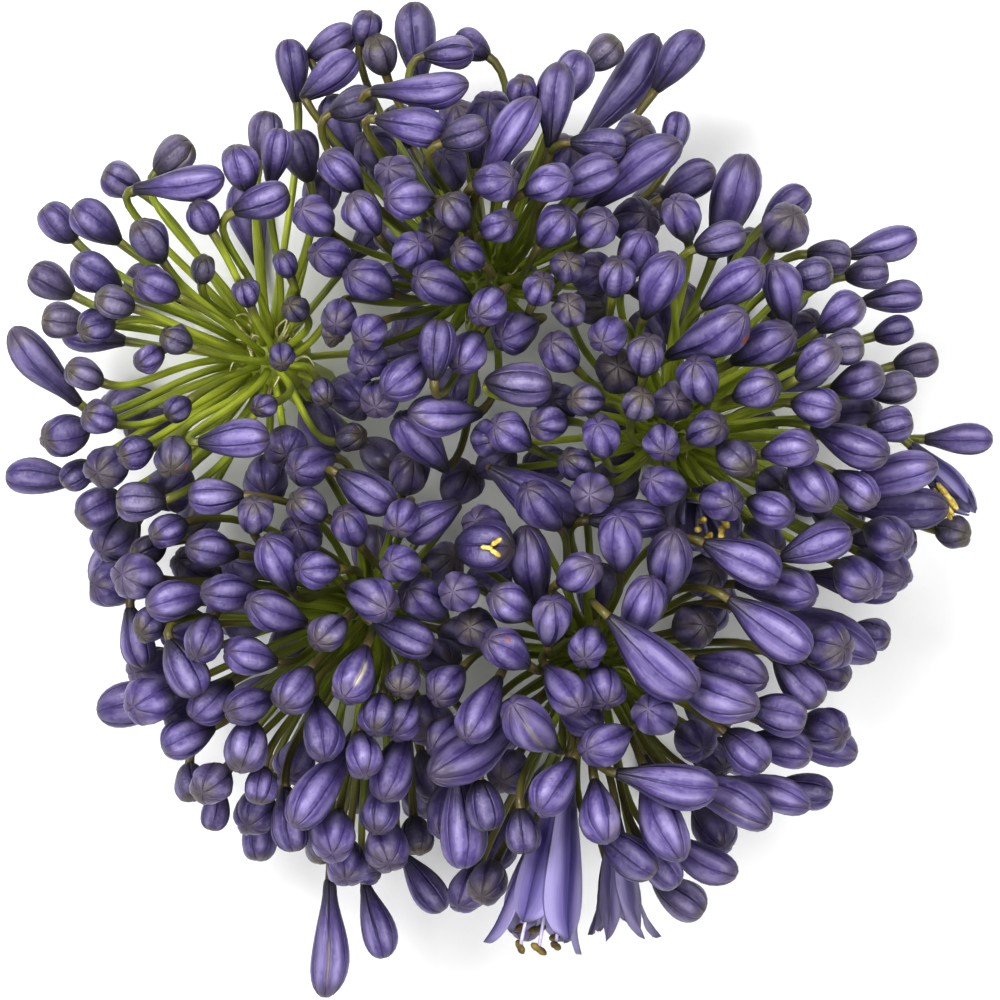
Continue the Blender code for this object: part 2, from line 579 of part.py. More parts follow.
def tepal(origin, axis, out, length, spread, width, verts, faces):
    """One blade, rhombic across: rises in the tube, widens, then flares to a point."""
    across = np.cross(axis, out)
    stations = [(0.20, 0.16, 0.32), (0.52, 0.40, 0.85), (0.84, 0.78, 0.90)]
    thick = 0.55
    start = len(verts)
    for along, flare, share in stations:
        centre = origin + axis * length * along + out * spread * flare
        wide = across * width / 2 * share
        verts.extend([centre - wide, centre + out * thick, centre + wide, centre - out * thick])
    verts.append(origin + axis * length + out * spread * 1.1)
    faces.extend([(start, start + 2, start + 1), (start, start + 3, start + 2)])
    for i in range(len(stations) - 1):
        joinRings(faces, start + 4 * i, start + 4 * i + 4, 4)
    top = start + 4 * (len(stations) - 1)
    for k in range(4):
        faces.append((top + k, top + (k + 1) % 4, len(verts) - 1))


def stamen(origin, axis, out, length, spread, verts, faces):
    """A three-sided filament from inside the tube with a thicker anther at its end."""
    start = len(verts)
    across = np.cross(axis, out)
    stations = [(0.15, 0.05, 0.45), (0.86, 0.24, 0.45), (0.90, 0.27, 0.95), (0.99, 0.34, 0.6)]
    for along, lean, thick in stations:
        centre = origin + axis * length * along + out * spread * lean
        verts.extend(centre + (out * math.cos(a) + across * math.sin(a)) * thick for a in (0, 2.094, 4.189))
    for i in range(3):
        joinRings(faces, start + 3 * i, start + 3 * i + 3, 3)
    faces.extend([(start, start + 2, start + 1), (start + 9, start + 10, start + 11)])


def openFlowerMeshes(curve, base, axis, length, spread, spin, threads):
    """A solid tube, then six blades and six stamens rooted in it."""
    verts, faces = [], []
    across = acrossOf(axis)
    side = across * math.cos(spin) + np.cross(axis, across) * math.sin(spin)
    last = pedicelRings(curve, side, (0, 0.4, 0.72, 1.0), verts, faces)
    previous = None
    for along, radius in ((0.08, 1.6), (0.30, spread * 0.27), (0.42, spread * 0.33)):
        here = len(verts)
        verts.extend(ring(base + axis * length * along, axis, side, radius, 6))
        if previous is None:
            widen(faces, last, here, 6)
        else:
            joinRings(faces, previous, here, 6)
        previous = here
    verts.append(base + axis * length * 0.46)
    for k in range(6):
        faces.append((previous + k, previous + (k + 1) % 6, len(verts) - 1))
    shapes = [(verts, faces)]
    for k in range(6):
        angle = k * math.tau / 6
        out = side * math.cos(angle) + np.cross(axis, side) * math.sin(angle)
        blade = ([], [])
        tepal(base, axis, out, length * (1.0 if k % 2 else 0.97), spread, spread * 0.66, *blade)
        shapes.append(blade)
    for k in range(threads):
        angle = (k + 0.5) * math.tau / 6
        out = side * math.cos(angle) + np.cross(axis, side) * math.sin(angle)
        thread = ([], [])
        stamen(base, axis, out, length * 0.94, spread, *thread)
        shapes.append(thread)
    return shapes


def hubMesh(centre):
    """A low ball, a little flat, that the pedicels grow from."""
    verts, faces = [], []
    z, x = np.array([0, 0, 1.0]), np.array([1.0, 0, 0])
    levels = [(-0.65, 0.68), (-0.09, 1.0), (0.45, 0.86)]
    for rise, share in levels:
        verts.extend(ring(centre + z * hubRadius * rise, z, x, hubRadius * share, 10))
    joinRings(faces, 0, 10, 10)
    joinRings(faces, 10, 20, 10)
    verts.extend([centre - z * hubRadius * 0.9, centre + z * hubRadius * 0.86])
    for k in range(10):
        faces.append(((k + 1) % 10, k, 30))
        faces.append((20 + k, 20 + (k + 1) % 10, 31))
    return verts, faces


def scapeMesh(cut, hub):
    """The cut flower stalk, from the ground to inside the hub."""
    foot, top = np.array([cut[0], cut[1], -1.0]), np.array(hub, float) - [0, 0, 1.5]
    verts, faces = [], []
    z, x = np.array([0, 0, 1.0]), np.array([1.0, 0, 0])
    for share, radius in ((0, 1.0), (0.55, 0.92), (1.0, 1.0)):
        verts.extend(ring(foot + (top - foot) * share, z, x, scapeRadius * radius, 10))
    joinRings(faces, 0, 10, 10)
    joinRings(faces, 10, 20, 10)
    faces.append(tuple(range(9, -1, -1)))
    faces.append(tuple(range(20, 30)))
    return verts, faces


def meshObject(name, shape, collection):
    verts, faces = shape
    mesh = bpy.data.meshes.new(name)
    mesh.from_pydata([(Vector(v) + Vector(headOffset)) * mm for v in verts], [], faces)
    mesh.update()
    obj = bpy.data.objects.new(name, mesh)
    collection.objects.link(obj)
    return obj


def makeMaterial(name, colour, roughness):
    material = bpy.data.materials.new(name)
    material.use_nodes = True
    shader = material.node_tree.nodes["Principled BSDF"]
    shader.inputs["Base Color"].default_value = (*colour, 1)
    shader.inputs["Roughness"].default_value = roughness
    shader.inputs["Metallic"].default_value = 0
    return material


def applyModifiers(obj):
    graph = bpy.context.evaluated_depsgraph_get()
    finished = bpy.data.meshes.new_from_object(obj.evaluated_get(graph))
    obj.modifiers.clear()
    obj.data = finished


def largestShell(obj):
    """Keeps the outer skin: sealed hollows are filled and loose scraps dropped."""
    mesh = obj.data
    count = len(mesh.vertices)
    label = np.arange(count)
    ends = np.array([e.vertices[:] for e in mesh.edges])
    while True:
        low = np.minimum(label[ends[:, 0]], label[ends[:, 1]])
        fresh = label.copy()
        np.minimum.at(fresh, ends[:, 0], low)
        np.minimum.at(fresh, ends[:, 1], low)
        fresh = fresh[fresh]
        if (fresh == label).all():
            break
        label = fresh
    main = np.bincount(label).argmax()
    index = np.cumsum(label == main) - 1
    keep = [p.vertices[:] for p in mesh.polygons if label[p.vertices[0]] == main]
    places = [v.co.copy() for v in mesh.vertices if label[v.index] == main]
    outer = bpy.data.meshes.new(obj.name)
    outer.from_pydata(places, [], [[int(index[v]) for v in face] for face in keep])
    outer.update()
    obj.data = outer


def groundCutter():
    """A slab below the ground, which presses the foot buds flat."""
    half, depth = 150.0, 20.0
    square = [(-half, -half), (half, -half), (half, half), (-half, half)]
    corners = [(x, y, z) for z in (-depth, 0.0) for x, y in square]
    sides = [(0, 3, 2, 1), (4, 5, 6, 7)] + [(k, (k + 1) % 4, 4 + (k + 1) % 4, 4 + k) for k in range(4)]
    cutter = meshObject("ground_cutter", (corners, sides), bpy.context.scene.collection)
    cutter.hide_render = True
    cutter.display_type = "WIRE"
    return cutter


def buildUmbel(index, name, florets, curves, cutter):
    u = umbels[name]
    body = meshObject(name, scapeMesh(u["cut"], u["hub"]), bpy.context.scene.collection)
    parts = bpy.data.collections.new(name + "_parts")
    bpy.context.scene.collection.children.link(parts)
    meshObject("hub", hubMesh(np.array(u["hub"], float)), parts)
    for i in np.flatnonzero(florets["owner"] == index):
        base, axis, length = florets["base"][i], florets["axis"][i], florets["length"][i]
        width, spin = florets["width"][i], florets["spin"][i]
        if florets["flower"][i]:
            threads = openFlowers[i - len(florets["owner"])]["threads"]
            shapes = openFlowerMeshes(curves[i], base, axis, length, width / 1.5, spin, threads)
        else:
            shapes = [floretMesh(curves[i], base, axis, length, width, florets["age"][i], spin)]
        for shape in shapes:
            meshObject("floret", shape, parts)
    join = body.modifiers.new("join", "BOOLEAN")
    join.operation = "UNION"
    join.operand_type = "COLLECTION"
    join.collection = parts
    join.solver = "MANIFOLD"
    slim = body.modifiers.new("slim", "DECIMATE")
    slim.ratio = keptShare
    cut = body.modifiers.new("flat_feet", "BOOLEAN")
    cut.operation = "DIFFERENCE"
    cut.object = cutter
    cut.solver = "MANIFOLD"
    applyModifiers(body)
    for part in list(parts.objects):
        bpy.data.objects.remove(part)
    bpy.data.collections.remove(parts)
    largestShell(body)
    return body


def build():
    for obj in list(bpy.data.objects):
        bpy.data.objects.remove(obj)
    florets = layOut()
    curves = pedicelCurves(florets)
    cutter = groundCutter()
    violet = makeMaterial("violet_buds", (0.16, 0.12, 0.42), 0.45)
    for index, name in enumerate(umbels):
        body = buildUmbel(index, name, florets, curves, cutter)
        body.data.materials.append(violet)
        body.data.shade_smooth()
        body.data.set_sharp_from_angle(angle=math.radians(50))
    bpy.data.objects.remove(cutter)


build()
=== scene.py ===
# The looks of the agapanthus flower head: every bud, stalk and open flower of its five umbels.
# The layout is in millimetres from the middle of the head, as in the solids.
import math

import bpy
import numpy as np
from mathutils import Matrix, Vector


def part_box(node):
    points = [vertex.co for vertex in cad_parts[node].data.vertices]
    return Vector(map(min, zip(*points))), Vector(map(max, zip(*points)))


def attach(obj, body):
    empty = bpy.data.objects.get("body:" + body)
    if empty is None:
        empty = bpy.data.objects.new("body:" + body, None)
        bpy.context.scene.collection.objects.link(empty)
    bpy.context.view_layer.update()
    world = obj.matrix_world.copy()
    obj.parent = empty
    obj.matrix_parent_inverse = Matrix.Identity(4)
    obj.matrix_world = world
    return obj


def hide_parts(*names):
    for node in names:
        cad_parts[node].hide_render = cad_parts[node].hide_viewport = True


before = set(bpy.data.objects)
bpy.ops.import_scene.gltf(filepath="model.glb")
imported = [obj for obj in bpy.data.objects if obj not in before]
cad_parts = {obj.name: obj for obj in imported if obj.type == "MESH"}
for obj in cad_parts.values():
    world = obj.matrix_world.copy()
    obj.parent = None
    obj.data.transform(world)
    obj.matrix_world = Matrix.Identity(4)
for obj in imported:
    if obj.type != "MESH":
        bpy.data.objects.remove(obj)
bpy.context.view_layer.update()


mm = 0.001
seed = 7
golden = math.radians(137.50776)  # turn from one floret of a spiral to the next

# Each umbel: hub place, reach from the hub to the middle of its buds, ripeness from 0 to 1,
# radius of the thin middle that shows the hub, and where its scape is cut on the ground.
# Each umbel leans over those listed before it.
umbels = {
    "umbel_left": {"hub": (-46, 29, 38), "reach": 45, "ripe": 0.16, "window": 25, "cut": (-38, 24)},
    "umbel_lower_left": {"hub": (-27, -21, 38), "reach": 46, "ripe": 0.42, "window": 0,
                         "cut": (-23, -18)},
    "umbel_top": {"hub": (-3, 45, 38), "reach": 46, "ripe": 0.45, "window": 0, "cut": (-2, 37)},
    "umbel_right": {"hub": (34, 15, 38), "reach": 47, "ripe": 0.34, "window": 0, "cut": (29, 13)},
    "umbel_lower_right": {"hub": (18, -30, 37), "reach": 46, "ripe": 0.60, "window": 0,
                          "cut": (17, -27)},
}
hubRadius = 8.0
scapeRadius = 5.0
pedicelRadius = 0.78
groundGap = 0.4
headOffset = (-0.2, -1.1, 0.0)  # puts the middle of the whole head's box over the origin

# Florets that make the outline or stand out: plan places of the bud's base and tip, and its width.
markedFlorets = [
    # upper left
    (-85, 53, -91, 60, 7.6), (-72, 63, -79, 67, 7.0), (-68, 66, -61, 72, 7.4),
    (-71, 62, -53, 64, 7.2), (-40, 81, -42, 94, 6.6), (-38, 90, -28, 96, 7.0),
    (-41, 80, -30, 89, 7.6), (-28, 92, -26, 98, 6.2), (-23, 87, -25, 94, 7.2),
    (-48, 69, -46, 79, 7.0), (-43, 64, -41, 75, 6.4), (-50, 58, -39, 62, 7.6),
    (-75, 36, -81, 34, 6.6), (-71, 38, -78, 40, 6.8),
    # top
    (-15, 89, -5, 90, 6.6), (-2, 90, -9, 94, 6.4), (-25, 81, -6, 82, 7.4), (-33, 77, -24, 80, 7.2),
    (-24, 75, -10, 72, 7.8), (-11, 70, -2, 73, 7.4), (4, 78, 5, 83, 5.8), (10, 69, 12, 86, 7.6),
    (-4, 62, 7, 79, 8.2), (18, 88, 24, 93, 7.0), (31, 83, 40, 95, 7.8), (14, 70, 25, 69, 6.8),
    (17, 58, 35, 71, 8.6), (11, 61, 23, 66, 8.0), (34, 69, 36, 79, 5.8), (33, 60, 44, 66, 7.6),
    # right
    (38, 50, 48, 53, 7.4), (53, 56, 62, 63, 7.4), (70, 50, 84, 54, 7.4), (61, 50, 70, 49, 6.8),
    (69, 46, 78, 47, 6.6), (57, 44, 65, 46, 6.8), (73, 41, 85, 42, 6.8), (79, 28, 88, 30, 6.8),
    (75, 34, 83, 36, 6.2), (62, 30, 71, 31, 6.8), (73, 22, 82, 24, 6.8), (72, 15, 81, 17, 7.0),
    (85, 13, 99, 13, 6.6), (66, 3, 86, 8, 8.6), (70, -1, 90, -1, 8.4), (88, -5, 94, -6, 6.4),
    (70, -7, 84, -6, 8.8), (54, -11, 68, -6, 8.2), (40, -6, 55, -13, 9.0), (62, -14, 80, -17, 8.2),
    (70, -27, 78, -28, 7.0),
    # lower right
    (49, -15, 77, -25, 9.8), (45, -17, 61, -28, 9.6), (21, -21, 38, -36, 10.4),
    (22, -51, 42, -54, 9.0), (17, -63, 28, -71, 8.4), (42, -54, 61, -59, 7.4),
    (56, -56, 67, -58, 7.6), (54, -30, 63, -39, 8.0), (44, -44, 52, -51, 8.6),
    (49, -39, 60, -42, 8.6), (31, -65, 47, -73, 7.6), (31, -75, 41, -82, 8.0),
    (27, -66, 34, -75, 7.6), (22, -72, 26, -79, 7.2), (62, -31, 70, -35, 8.0),
    # lower left
    (-8, -52, -7, -71, 9.4), (-4, -53, -2, -63, 8.0), (5, -59, 6, -68, 6.8),
    (-17, -71, -9, -82, 7.2), (-27, -76, -23, -91, 7.2), (-34, -75, -35, -99, 7.8),
    (-31, -72, -24, -73, 6.8), (-36, -63, -34, -71, 7.8), (-42, -55, -40, -68, 7.8),
    (-48, -62, -48, -71, 7.8), (-56, -57, -58, -65, 6.0), (-62, -52, -61, -59, 6.8),
    (-48, -42, -50, -51, 9.0), (-17, -62, -16, -69, 6.8), (-46, -51, -47, -58, 6.4),
    # left
    (-83, 20, -96, 35, 8.0), (-81, 15, -89, 13, 8.6), (-75, 16, -80, 18, 6.4),
    (-85, 5, -99, 6, 7.8), (-75, 2, -83, -2, 8.4), (-65, 1, -75, 1, 7.8), (-67, -5, -73, -8, 6.4),
    (-61, -4, -67, -7, 6.8), (-72, -5, -80, -19, 9.0), (-73, -20, -70, -32, 7.0),
    (-66, -21, -70, -25, 6.8), (-64, -26, -58, -37, 8.6), (-50, 4, -61, 4, 7.4),
    (-58, 11, -44, 12, 7.8), (-62, 13, -63, 7, 7.6),
    # middle
    (0, 13, 18, 3, 10.0), (-13, 24, -12, 36, 7.4), (-31, 8, -20, 1, 8.0), (-5, 26, 8, 25, 9.0),
    (19, 0, 34, 0, 7.8), (-20, -23, -8, -28, 7.6), (-8, -8, 3, -8, 10.0),
]

# Open flowers: plan places of the base and the mouth's middle, drop of the mouth below the base,
# length, how wide the tepals spread at their tips, the stamens that show, the form of the blades,
# and how far along the flower its stamens end.
openFlowers = [
    {"base": (17.5, -51.5), "mouth": (12, -84), "drop": 6, "length": 40, "spread": 11.0,
     "threads": 6, "form": "flared", "reach": 0.97},
    {"base": (24, -60), "mouth": (24.5, -85), "drop": 14, "length": 31, "spread": 8.0,
     "threads": 0, "form": "withered", "reach": 0.90},
    {"base": (37, -9), "mouth": (39, -15), "drop": -12, "length": 17, "spread": 7.5,
     "threads": 6, "form": "cupped", "reach": 0.90},
    {"base": (83, 12), "mouth": (95, -1), "drop": 1, "length": 19, "spread": 4.0,
     "threads": 3, "form": "folded", "reach": 0.70},
]


def unit(v):
    return v / np.maximum(np.linalg.norm(v, axis=-1, keepdims=True), 1e-9)


def ofEach(rows, key):
    # This value of every row, as an array.
    return np.array([row[key] for row in rows], float)


hubs = ofEach(umbels.values(), "hub")


def nearestHub(plan):
    # Index of the umbel whose hub is nearest in plan.
    gaps = np.linalg.norm(plan[:, None, :] - hubs[None, :, :2], axis=2)
    return gaps.argmin(axis=1)


dome = {
    "flatness": 2.7,  # 2 gives a round dome of buds, more a flatter one
    "droop": 0.12,  # slope of the buds' middles past the dome
}


def domeHeight(owner, plan):
    # Height of a bud's middle: on a ball round its hub, or a little below the hub past the ball.
    hub = hubs[owner]
    reach = ofEach(umbels.values(), "reach")[owner]
    r = np.linalg.norm(plan - hub[:, :2], axis=1)
    rise = reach * np.maximum(1 - (r / reach) ** dome["flatness"], 0) ** (1 / dome["flatness"])
    return hub[:, 2] + rise - dome["droop"] * np.maximum(r - reach, 0)


leaning = {
    "slope": 0.31,  # of the planes between neighbouring umbels
    "pivot": 11,  # height above the hubs at which those planes stand halfway
    "turnWithin": 15,  # of such a plane, buds turn along it
    "turnUp": 0.2,
}


def pastCell(owner, points):
    # Distance of points past the sloping plane to each other hub, negative inside, and its normals.
    across = hubs[None] - hubs[owner][:, None]
    span = np.linalg.norm(across, axis=2, keepdims=True)
    rank = np.sign(np.arange(len(hubs))[None] - owner[:, None])[..., None]
    normal = unit(across + rank * span * leaning["slope"] * np.array([0, 0, 1.0]))
    pivot = (hubs[None] + hubs[owner][:, None]) / 2 + [0, 0, leaning["pivot"]]
    past = ((points[:, None] - pivot) * normal).sum(2)
    past[np.arange(len(owner)), owner] = -1e3
    return past, normal


def ownCell(points):
    # Index of the umbel whose cell holds each point.
    worst = [pastCell(np.full(len(points), i), points)[0].max(axis=1) for i in range(len(umbels))]
    return np.argmin(worst, axis=0)


def turnAlong(owner, middle, axis):
    # Buds near a neighbouring umbel turn up along the plane between them.
    past, normal = pastCell(owner, middle)
    near = np.clip(1 + past / leaning["turnWithin"], 0, 1)
    toward = np.maximum((axis[:, None] * normal).sum(2), 0)
    turned = axis - (normal * (near * toward)[..., None]).sum(1)
    turned[:, 2] += leaning["turnUp"] * near.max(axis=1)
    return unit(turned)


# A bud is this many widths long at age 0, and grows at one rate and then faster.
growth = {"start": 1.15, "rate": 0.75, "late": 2.0, "lateFrom": 0.45}


def budLength(width, age):
    # Length from width: round at age 0, egg at 0.5, club at 1.
    late = growth["late"] * np.maximum(age - growth["lateFrom"], 0)
    return width * (growth["start"] + growth["rate"] * age + late)


def markedRows():
    # Marked florets as owner, middle, axis, length, width and age. A bud that looks short for its
    # width is young, and one that looks shorter than its length points up.
    rows = np.array(markedFlorets, float)
    base, tip, width = rows[:, 0:2], rows[:, 2:4], rows[:, 4]
    middle = (base + tip) / 2
    seat = base * 0.6 + tip * 0.4
    owner = ownCell(np.column_stack([seat, domeHeight(nearestHub(seat), seat)]))
    plan = np.linalg.norm(tip - base, axis=1)
    age = np.clip((plan / width - 1.0) / 1.75, 0.05, 1.0)
    length = np.maximum(budLength(width, age), plan)
    rise = np.sqrt(np.maximum(length ** 2 - plan ** 2, 0))
    axis = unit(np.column_stack([tip - base, rise]))
    height = domeHeight(owner, middle)
    return owner, np.column_stack([middle, height]), axis, length, width, age


spiralRule = {
    "count": 90,
    "spacing": 9.85,  # plan distance between neighbouring buds
    "scatter": 1.0,
    "umbelTurn": 1.3,  # between the spirals of one umbel and the next
    "pastCell": 5.5,  # how far past its cell an umbel still sends buds, which then press up
    "pastReach": 2,
    "offMarked": 6.4,  # kept from marked florets
    "ageRise": 0.3, "ageSpread": 0.16,  # outwards, and by chance
    "width": 6.5, "widthRise": 3.1, "widthSpread": 0.3,
    "drop": 5,  # how far a bud may hang below the dome
    "window": {"age": 0.4, "younger": 0.12, "drop": (12, 10), "width": 0.82},
    "sideways": 0.75, "sidewaysSpread": 0.35,
}


def spiralRows(rng, taken):
    # Florets on a sunflower spiral round each hub, kept in its own cell and off the marked ones.
    s, w = spiralRule, spiralRule["window"]
    owners, middles, ages, shrinks = [], [], [], []
    for index, u in enumerate(umbels.values()):
        k = np.arange(s["count"])
        r = s["spacing"] / math.sqrt(math.pi) * np.sqrt(k + 0.4)
        turn = k * golden + index * s["umbelTurn"]
        plan = hubs[index, :2] + np.column_stack([r * np.cos(turn), r * np.sin(turn)])
        plan += rng.normal(0, s["scatter"], plan.shape)
        inWindow = r < u["window"]
        owner = np.full(len(k), index)
        height = domeHeight(owner, plan)
        past, _ = pastCell(owner, np.column_stack([plan, height]))
        keep = (past.max(axis=1) < s["pastCell"]) & (r < u["reach"] + s["pastReach"])
        keep &= ~(inWindow & (k % 3 == 1))
        keep &= np.linalg.norm(plan[:, None] - taken[None], axis=2).min(axis=1) > s["offMarked"]
        age = u["ripe"] + s["ageRise"] * (r / u["reach"] - 0.5)
        age = age + rng.normal(0, s["ageSpread"], len(k))
        age = np.where(inWindow, age * w["age"] - w["younger"], age)
        deep = w["drop"][0] + w["drop"][1] * rng.random(len(k))
        drop = np.where(inWindow, deep, rng.random(len(k)) * s["drop"])
        owners.append(owner[keep])
        middles.append(np.column_stack([plan, height - drop])[keep])
        ages.append(age[keep])
        shrinks.append(np.where(inWindow, w["width"], 1.0)[keep])
    owner, middle = np.concatenate(owners), np.concatenate(middles)
    age = np.clip(np.concatenate(ages), 0, 1)
    width = s["width"] + s["widthRise"] * age + rng.normal(0, s["widthSpread"], len(age))
    width = width * np.concatenate(shrinks)
    outward = unit(middle - hubs[owner])
    wander = rng.normal(0, s["sidewaysSpread"], outward.shape)
    sideways = unit(outward * [1, 1, 0] + wander * [1, 1, 0])
    axis = turnAlong(owner, middle, unit(outward + s["sideways"] * sideways))
    return owner, middle, axis, budLength(width, age), width, age


lowRule = {
    "swing": (0, 48, -48, 96, -96, 24),  # degrees from the way that leads out of the head
    "dip": (47, 47, 47, 30, 30, 22),  # degrees below the hub
    "reach": (44, 45, 45, 40, 40, 39),
    "feet": 3,  # the first three of each umbel rest on the ground
    "age": 0.4, "width": 7.2, "footWidth": 8.4,
}


def lowRows(rng):
    # Florets that nod below each hub, out of sight from above, and carry the head.
    s = lowRule
    count = len(s["swing"])
    dip = np.radians(s["dip"])
    owners, middles = [], []
    for index, hub in enumerate(hubs):
        turn = math.atan2(hub[1], hub[0]) + np.array(s["swing"]) * math.radians(1)
        reach = np.array(s["reach"]) + rng.normal(0, 0.6, count)
        level = np.cos(dip)
        away = np.column_stack([np.cos(turn) * level, np.sin(turn) * level, -np.sin(dip)])
        owners.append(np.full(count, index))
        middles.append(hub + away * reach[:, None])
    owner, middle = np.concatenate(owners), np.concatenate(middles)
    foot = np.tile(np.arange(count) < s["feet"], len(hubs))
    age = np.clip(s["age"] + rng.normal(0, 0.12, len(owner)), 0.2, 0.8)
    width = np.where(foot, s["footWidth"], s["width"])
    axis = unit(middle - hubs[owner] + [0, 0, 14])
    axis[foot] = unit(axis[foot] * [1, 1, 0.15])
    return owner, middle, axis, budLength(width, age), width, age, foot


def flowerGuards():
    # Florets that only keep room for the open flowers while the others settle.
    base, mouth = ofEach(openFlowers, "base"), ofEach(openFlowers, "mouth")
    owner = nearestHub(base)
    middle = (base + mouth) / 2
    axis = unit(np.column_stack([mouth - base, -ofEach(openFlowers, "drop")]))
    middle = np.column_stack([middle, domeHeight(owner, middle)])
    width = ofEach(openFlowers, "spread") * 1.5
    return owner, middle, axis, ofEach(openFlowers, "length"), width, np.ones(len(base))


def nearestPoints(a0, a1, b0, b1):
    # Nearest points of every segment a to every segment b, as arrays of shape (a, b, 3).
    u, v = (a1 - a0)[:, None], (b1 - b0)[None]
    w = a0[:, None] - b0[None]
    uu, vv, uv = (u * u).sum(-1), (v * v).sum(-1), (u * v).sum(-1)
    uw, vw = (u * w).sum(-1), (v * w).sum(-1)
    s = np.clip((uv * vw - vv * uw) / np.maximum(uu * vv - uv ** 2, 1e-6), 0, 1)
    t = np.clip((uv * s + vw) / np.maximum(vv, 1e-6), 0, 1)
    s = np.clip((uv * t - uw) / np.maximum(uu, 1e-6), 0, 1)
    return a0[:, None] + s[..., None] * u, b0[None] + t[..., None] * v


def distances(a0, a1, b0, b1):
    pa, pb = nearestPoints(a0, a1, b0, b1)
    return np.linalg.norm(pa - pb, axis=2)


def coreLines(middle, axis, length, width):
    # Ends of the line inside each bud that stays half a width from its outline.
    half = axis * np.maximum(length / 2 - width / 2, 0.1)[:, None]
    return middle - half, middle + half


def middleOf(f):
    return f["base"] + f["axis"] * (f["length"] / 2)[:, None]


def cellShift(owner, points, radius, axis, room):
    # Shift that brings discs of this radius across axis back inside their umbel's own cell.
    moved = points.copy()
    rows = np.arange(len(points))
    for _ in range(2):
        past, normal = pastCell(owner, moved)
        lateral = np.sqrt(np.maximum(1 - (normal * axis[:, None]).sum(2) ** 2, 0))
        excess = np.maximum(past + radius[:, None] * lateral + room, 0)
        worst = excess.argmax(axis=1)
        moved -= normal[rows, worst] * excess[rows, worst][:, None]
    return moved - points


settleRule = {
    "steps": 110, "stepLimit": 2.5,
    "budGap": 0.35,  # kept between buds
    "stalkGap": 0.2,  # kept between a bud and the straight line of another's pedicel
    "budPush": 0.5, "stalkPush": 0.3, "stalkYield": 0.12,  # shares of an overlap undone in a step
    "homePull": 0.03,  # share of the way home that a bud is drawn back in each step
    "markedPull": 0.18,
    "discs": ((0.0, 0.2), (0.26, 0.82), (0.6, 1.0), (0.86, 0.7), (1.0, 0.0)),  # a bud's outline
    "overstep": 0.45,  # how far a bud may pass its cell, where the next umbel's buds make way
    "footSink": 0.3,  # share of its radius by which a foot bud is pressed flat on the ground
}


def settle(owner, middle, axis, length, width, foot, marked):
    # Moves buds apart until none touch, holding them near home, in their cells and off the ground.
    s = settleRule
    home = middle.copy()
    radius = width * 0.5
    half = np.maximum(length / 2 - radius, 0.1)
    pull = np.where(marked, s["markedPull"], s["homePull"])[:, None] * [1, 1, 0.15]
    scapeEnd = np.column_stack([ofEach(umbels.values(), "cut"), np.zeros(len(hubs))])
    for _ in range(s["steps"]):
        move = (home - middle) * pull
        a0, a1 = coreLines(middle, axis, length, width)
        pa, pb = nearestPoints(a0, a1, a0, a1)
        apart = pa - pb
        need = radius[:, None] + radius[None] + s["budGap"] - np.linalg.norm(apart, axis=2)
        np.fill_diagonal(need, 0)
        move += s["budPush"] * (unit(apart) * np.maximum(need, 0)[..., None]).sum(1)
        base = middle - axis * (length / 2)[:, None]
        start = hubs[owner] + unit(base - hubs[owner]) * hubRadius * 1.6
        s0, s1 = np.concatenate([start, hubs]), np.concatenate([base - axis * 1.5, scapeEnd])
        thick = np.repeat([pedicelRadius, scapeRadius + 1], [len(base), len(hubs)])
        pa, pb = nearestPoints(a0, a1, s0, s1)
        apart = pa - pb
        need = radius[:, None] + thick[None] + s["stalkGap"] - np.linalg.norm(apart, axis=2)
        need[np.arange(len(base)), np.arange(len(base))] = 0
        push = unit(apart) * np.maximum(need, 0)[..., None]
        move += s["stalkPush"] * push.sum(1)
        move -= s["stalkYield"] * push[:, :len(base)].sum(0)
        middle = middle + np.clip(move, -s["stepLimit"], s["stepLimit"])
        for along, share in s["discs"]:
            disc = middle + axis * (length * (along - 0.5))[:, None]
            middle = middle + cellShift(owner, disc, radius * share, axis, -s["overstep"])
        low = np.minimum(middle[:, 2] - np.abs(axis[:, 2]) * half, middle[:, 2])
        lift = radius + groundGap - low
        middle[:, 2] += np.where(foot, 0, np.maximum(lift, 0))
        middle[foot, 2] = radius[foot] * (1 - s["footSink"])
    return middle


# Umbels that lean on each other, and the gap between the round outlines of the two buds that meet.
# The buds' true six-sided outlines then stand about half a millimetre apart.
neighbours = [(0, 1, -0.1), (0, 2, -0.05), (1, 4, -0.4), (2, 3, -0.45), (3, 4, -0.4)]


def pressTogether(owner, middle, axis, length, width, flower):
    # Brings the nearest two buds of each pair of neighbouring umbels together, so that they lean on
    # each other.
    radius = width * 0.5
    for one, other, meetingGap in neighbours:
        a0, a1 = coreLines(middle, axis, length, width)
        pa, pb = nearestPoints(a0, a1, a0, a1)
        apart = pb - pa
        gap = np.linalg.norm(apart, axis=2) - radius[:, None] - radius[None]
        gap[(owner != one) | flower] = 1e3
        gap[:, (owner != other) | flower] = 1e3
        i, j = np.unravel_index(gap.argmin(), gap.shape)
        shift = unit(apart[i, j]) * (gap[i, j] - meetingGap) / 2
        middle[i] += shift
        middle[j] -= shift
    return middle


infillRule = {
    "count": 95,  # smaller buds that stand a little lower in the gaps of the crowd
    "heights": (22, 26, 30, 35, 40, 45, 50, 55, 60, 65, 70, 75),
    "plan": 80, "step": 2.0,  # half side of the plan grid that is tried, and its step
    "widths": (8.1, 9.7), "ages": (0.22, 0.3),  # least and most width; least age and what is added
    "room": 0.7,  # least plan distance from such a place to the buds round it
    "below": 7,  # buds more than this below a place don't cover it
    "gap": 0.35,  # kept from every other bud and pedicel
    "reach": (15, 52),  # from the hub
    "within": 78,  # of the head's middle
    "openMiddle": (-53, 35, 25),  # plan circle that stays open round the hub of the left umbel
    "heightWorth": 0.03,  # room that a millimetre of height counts for
}


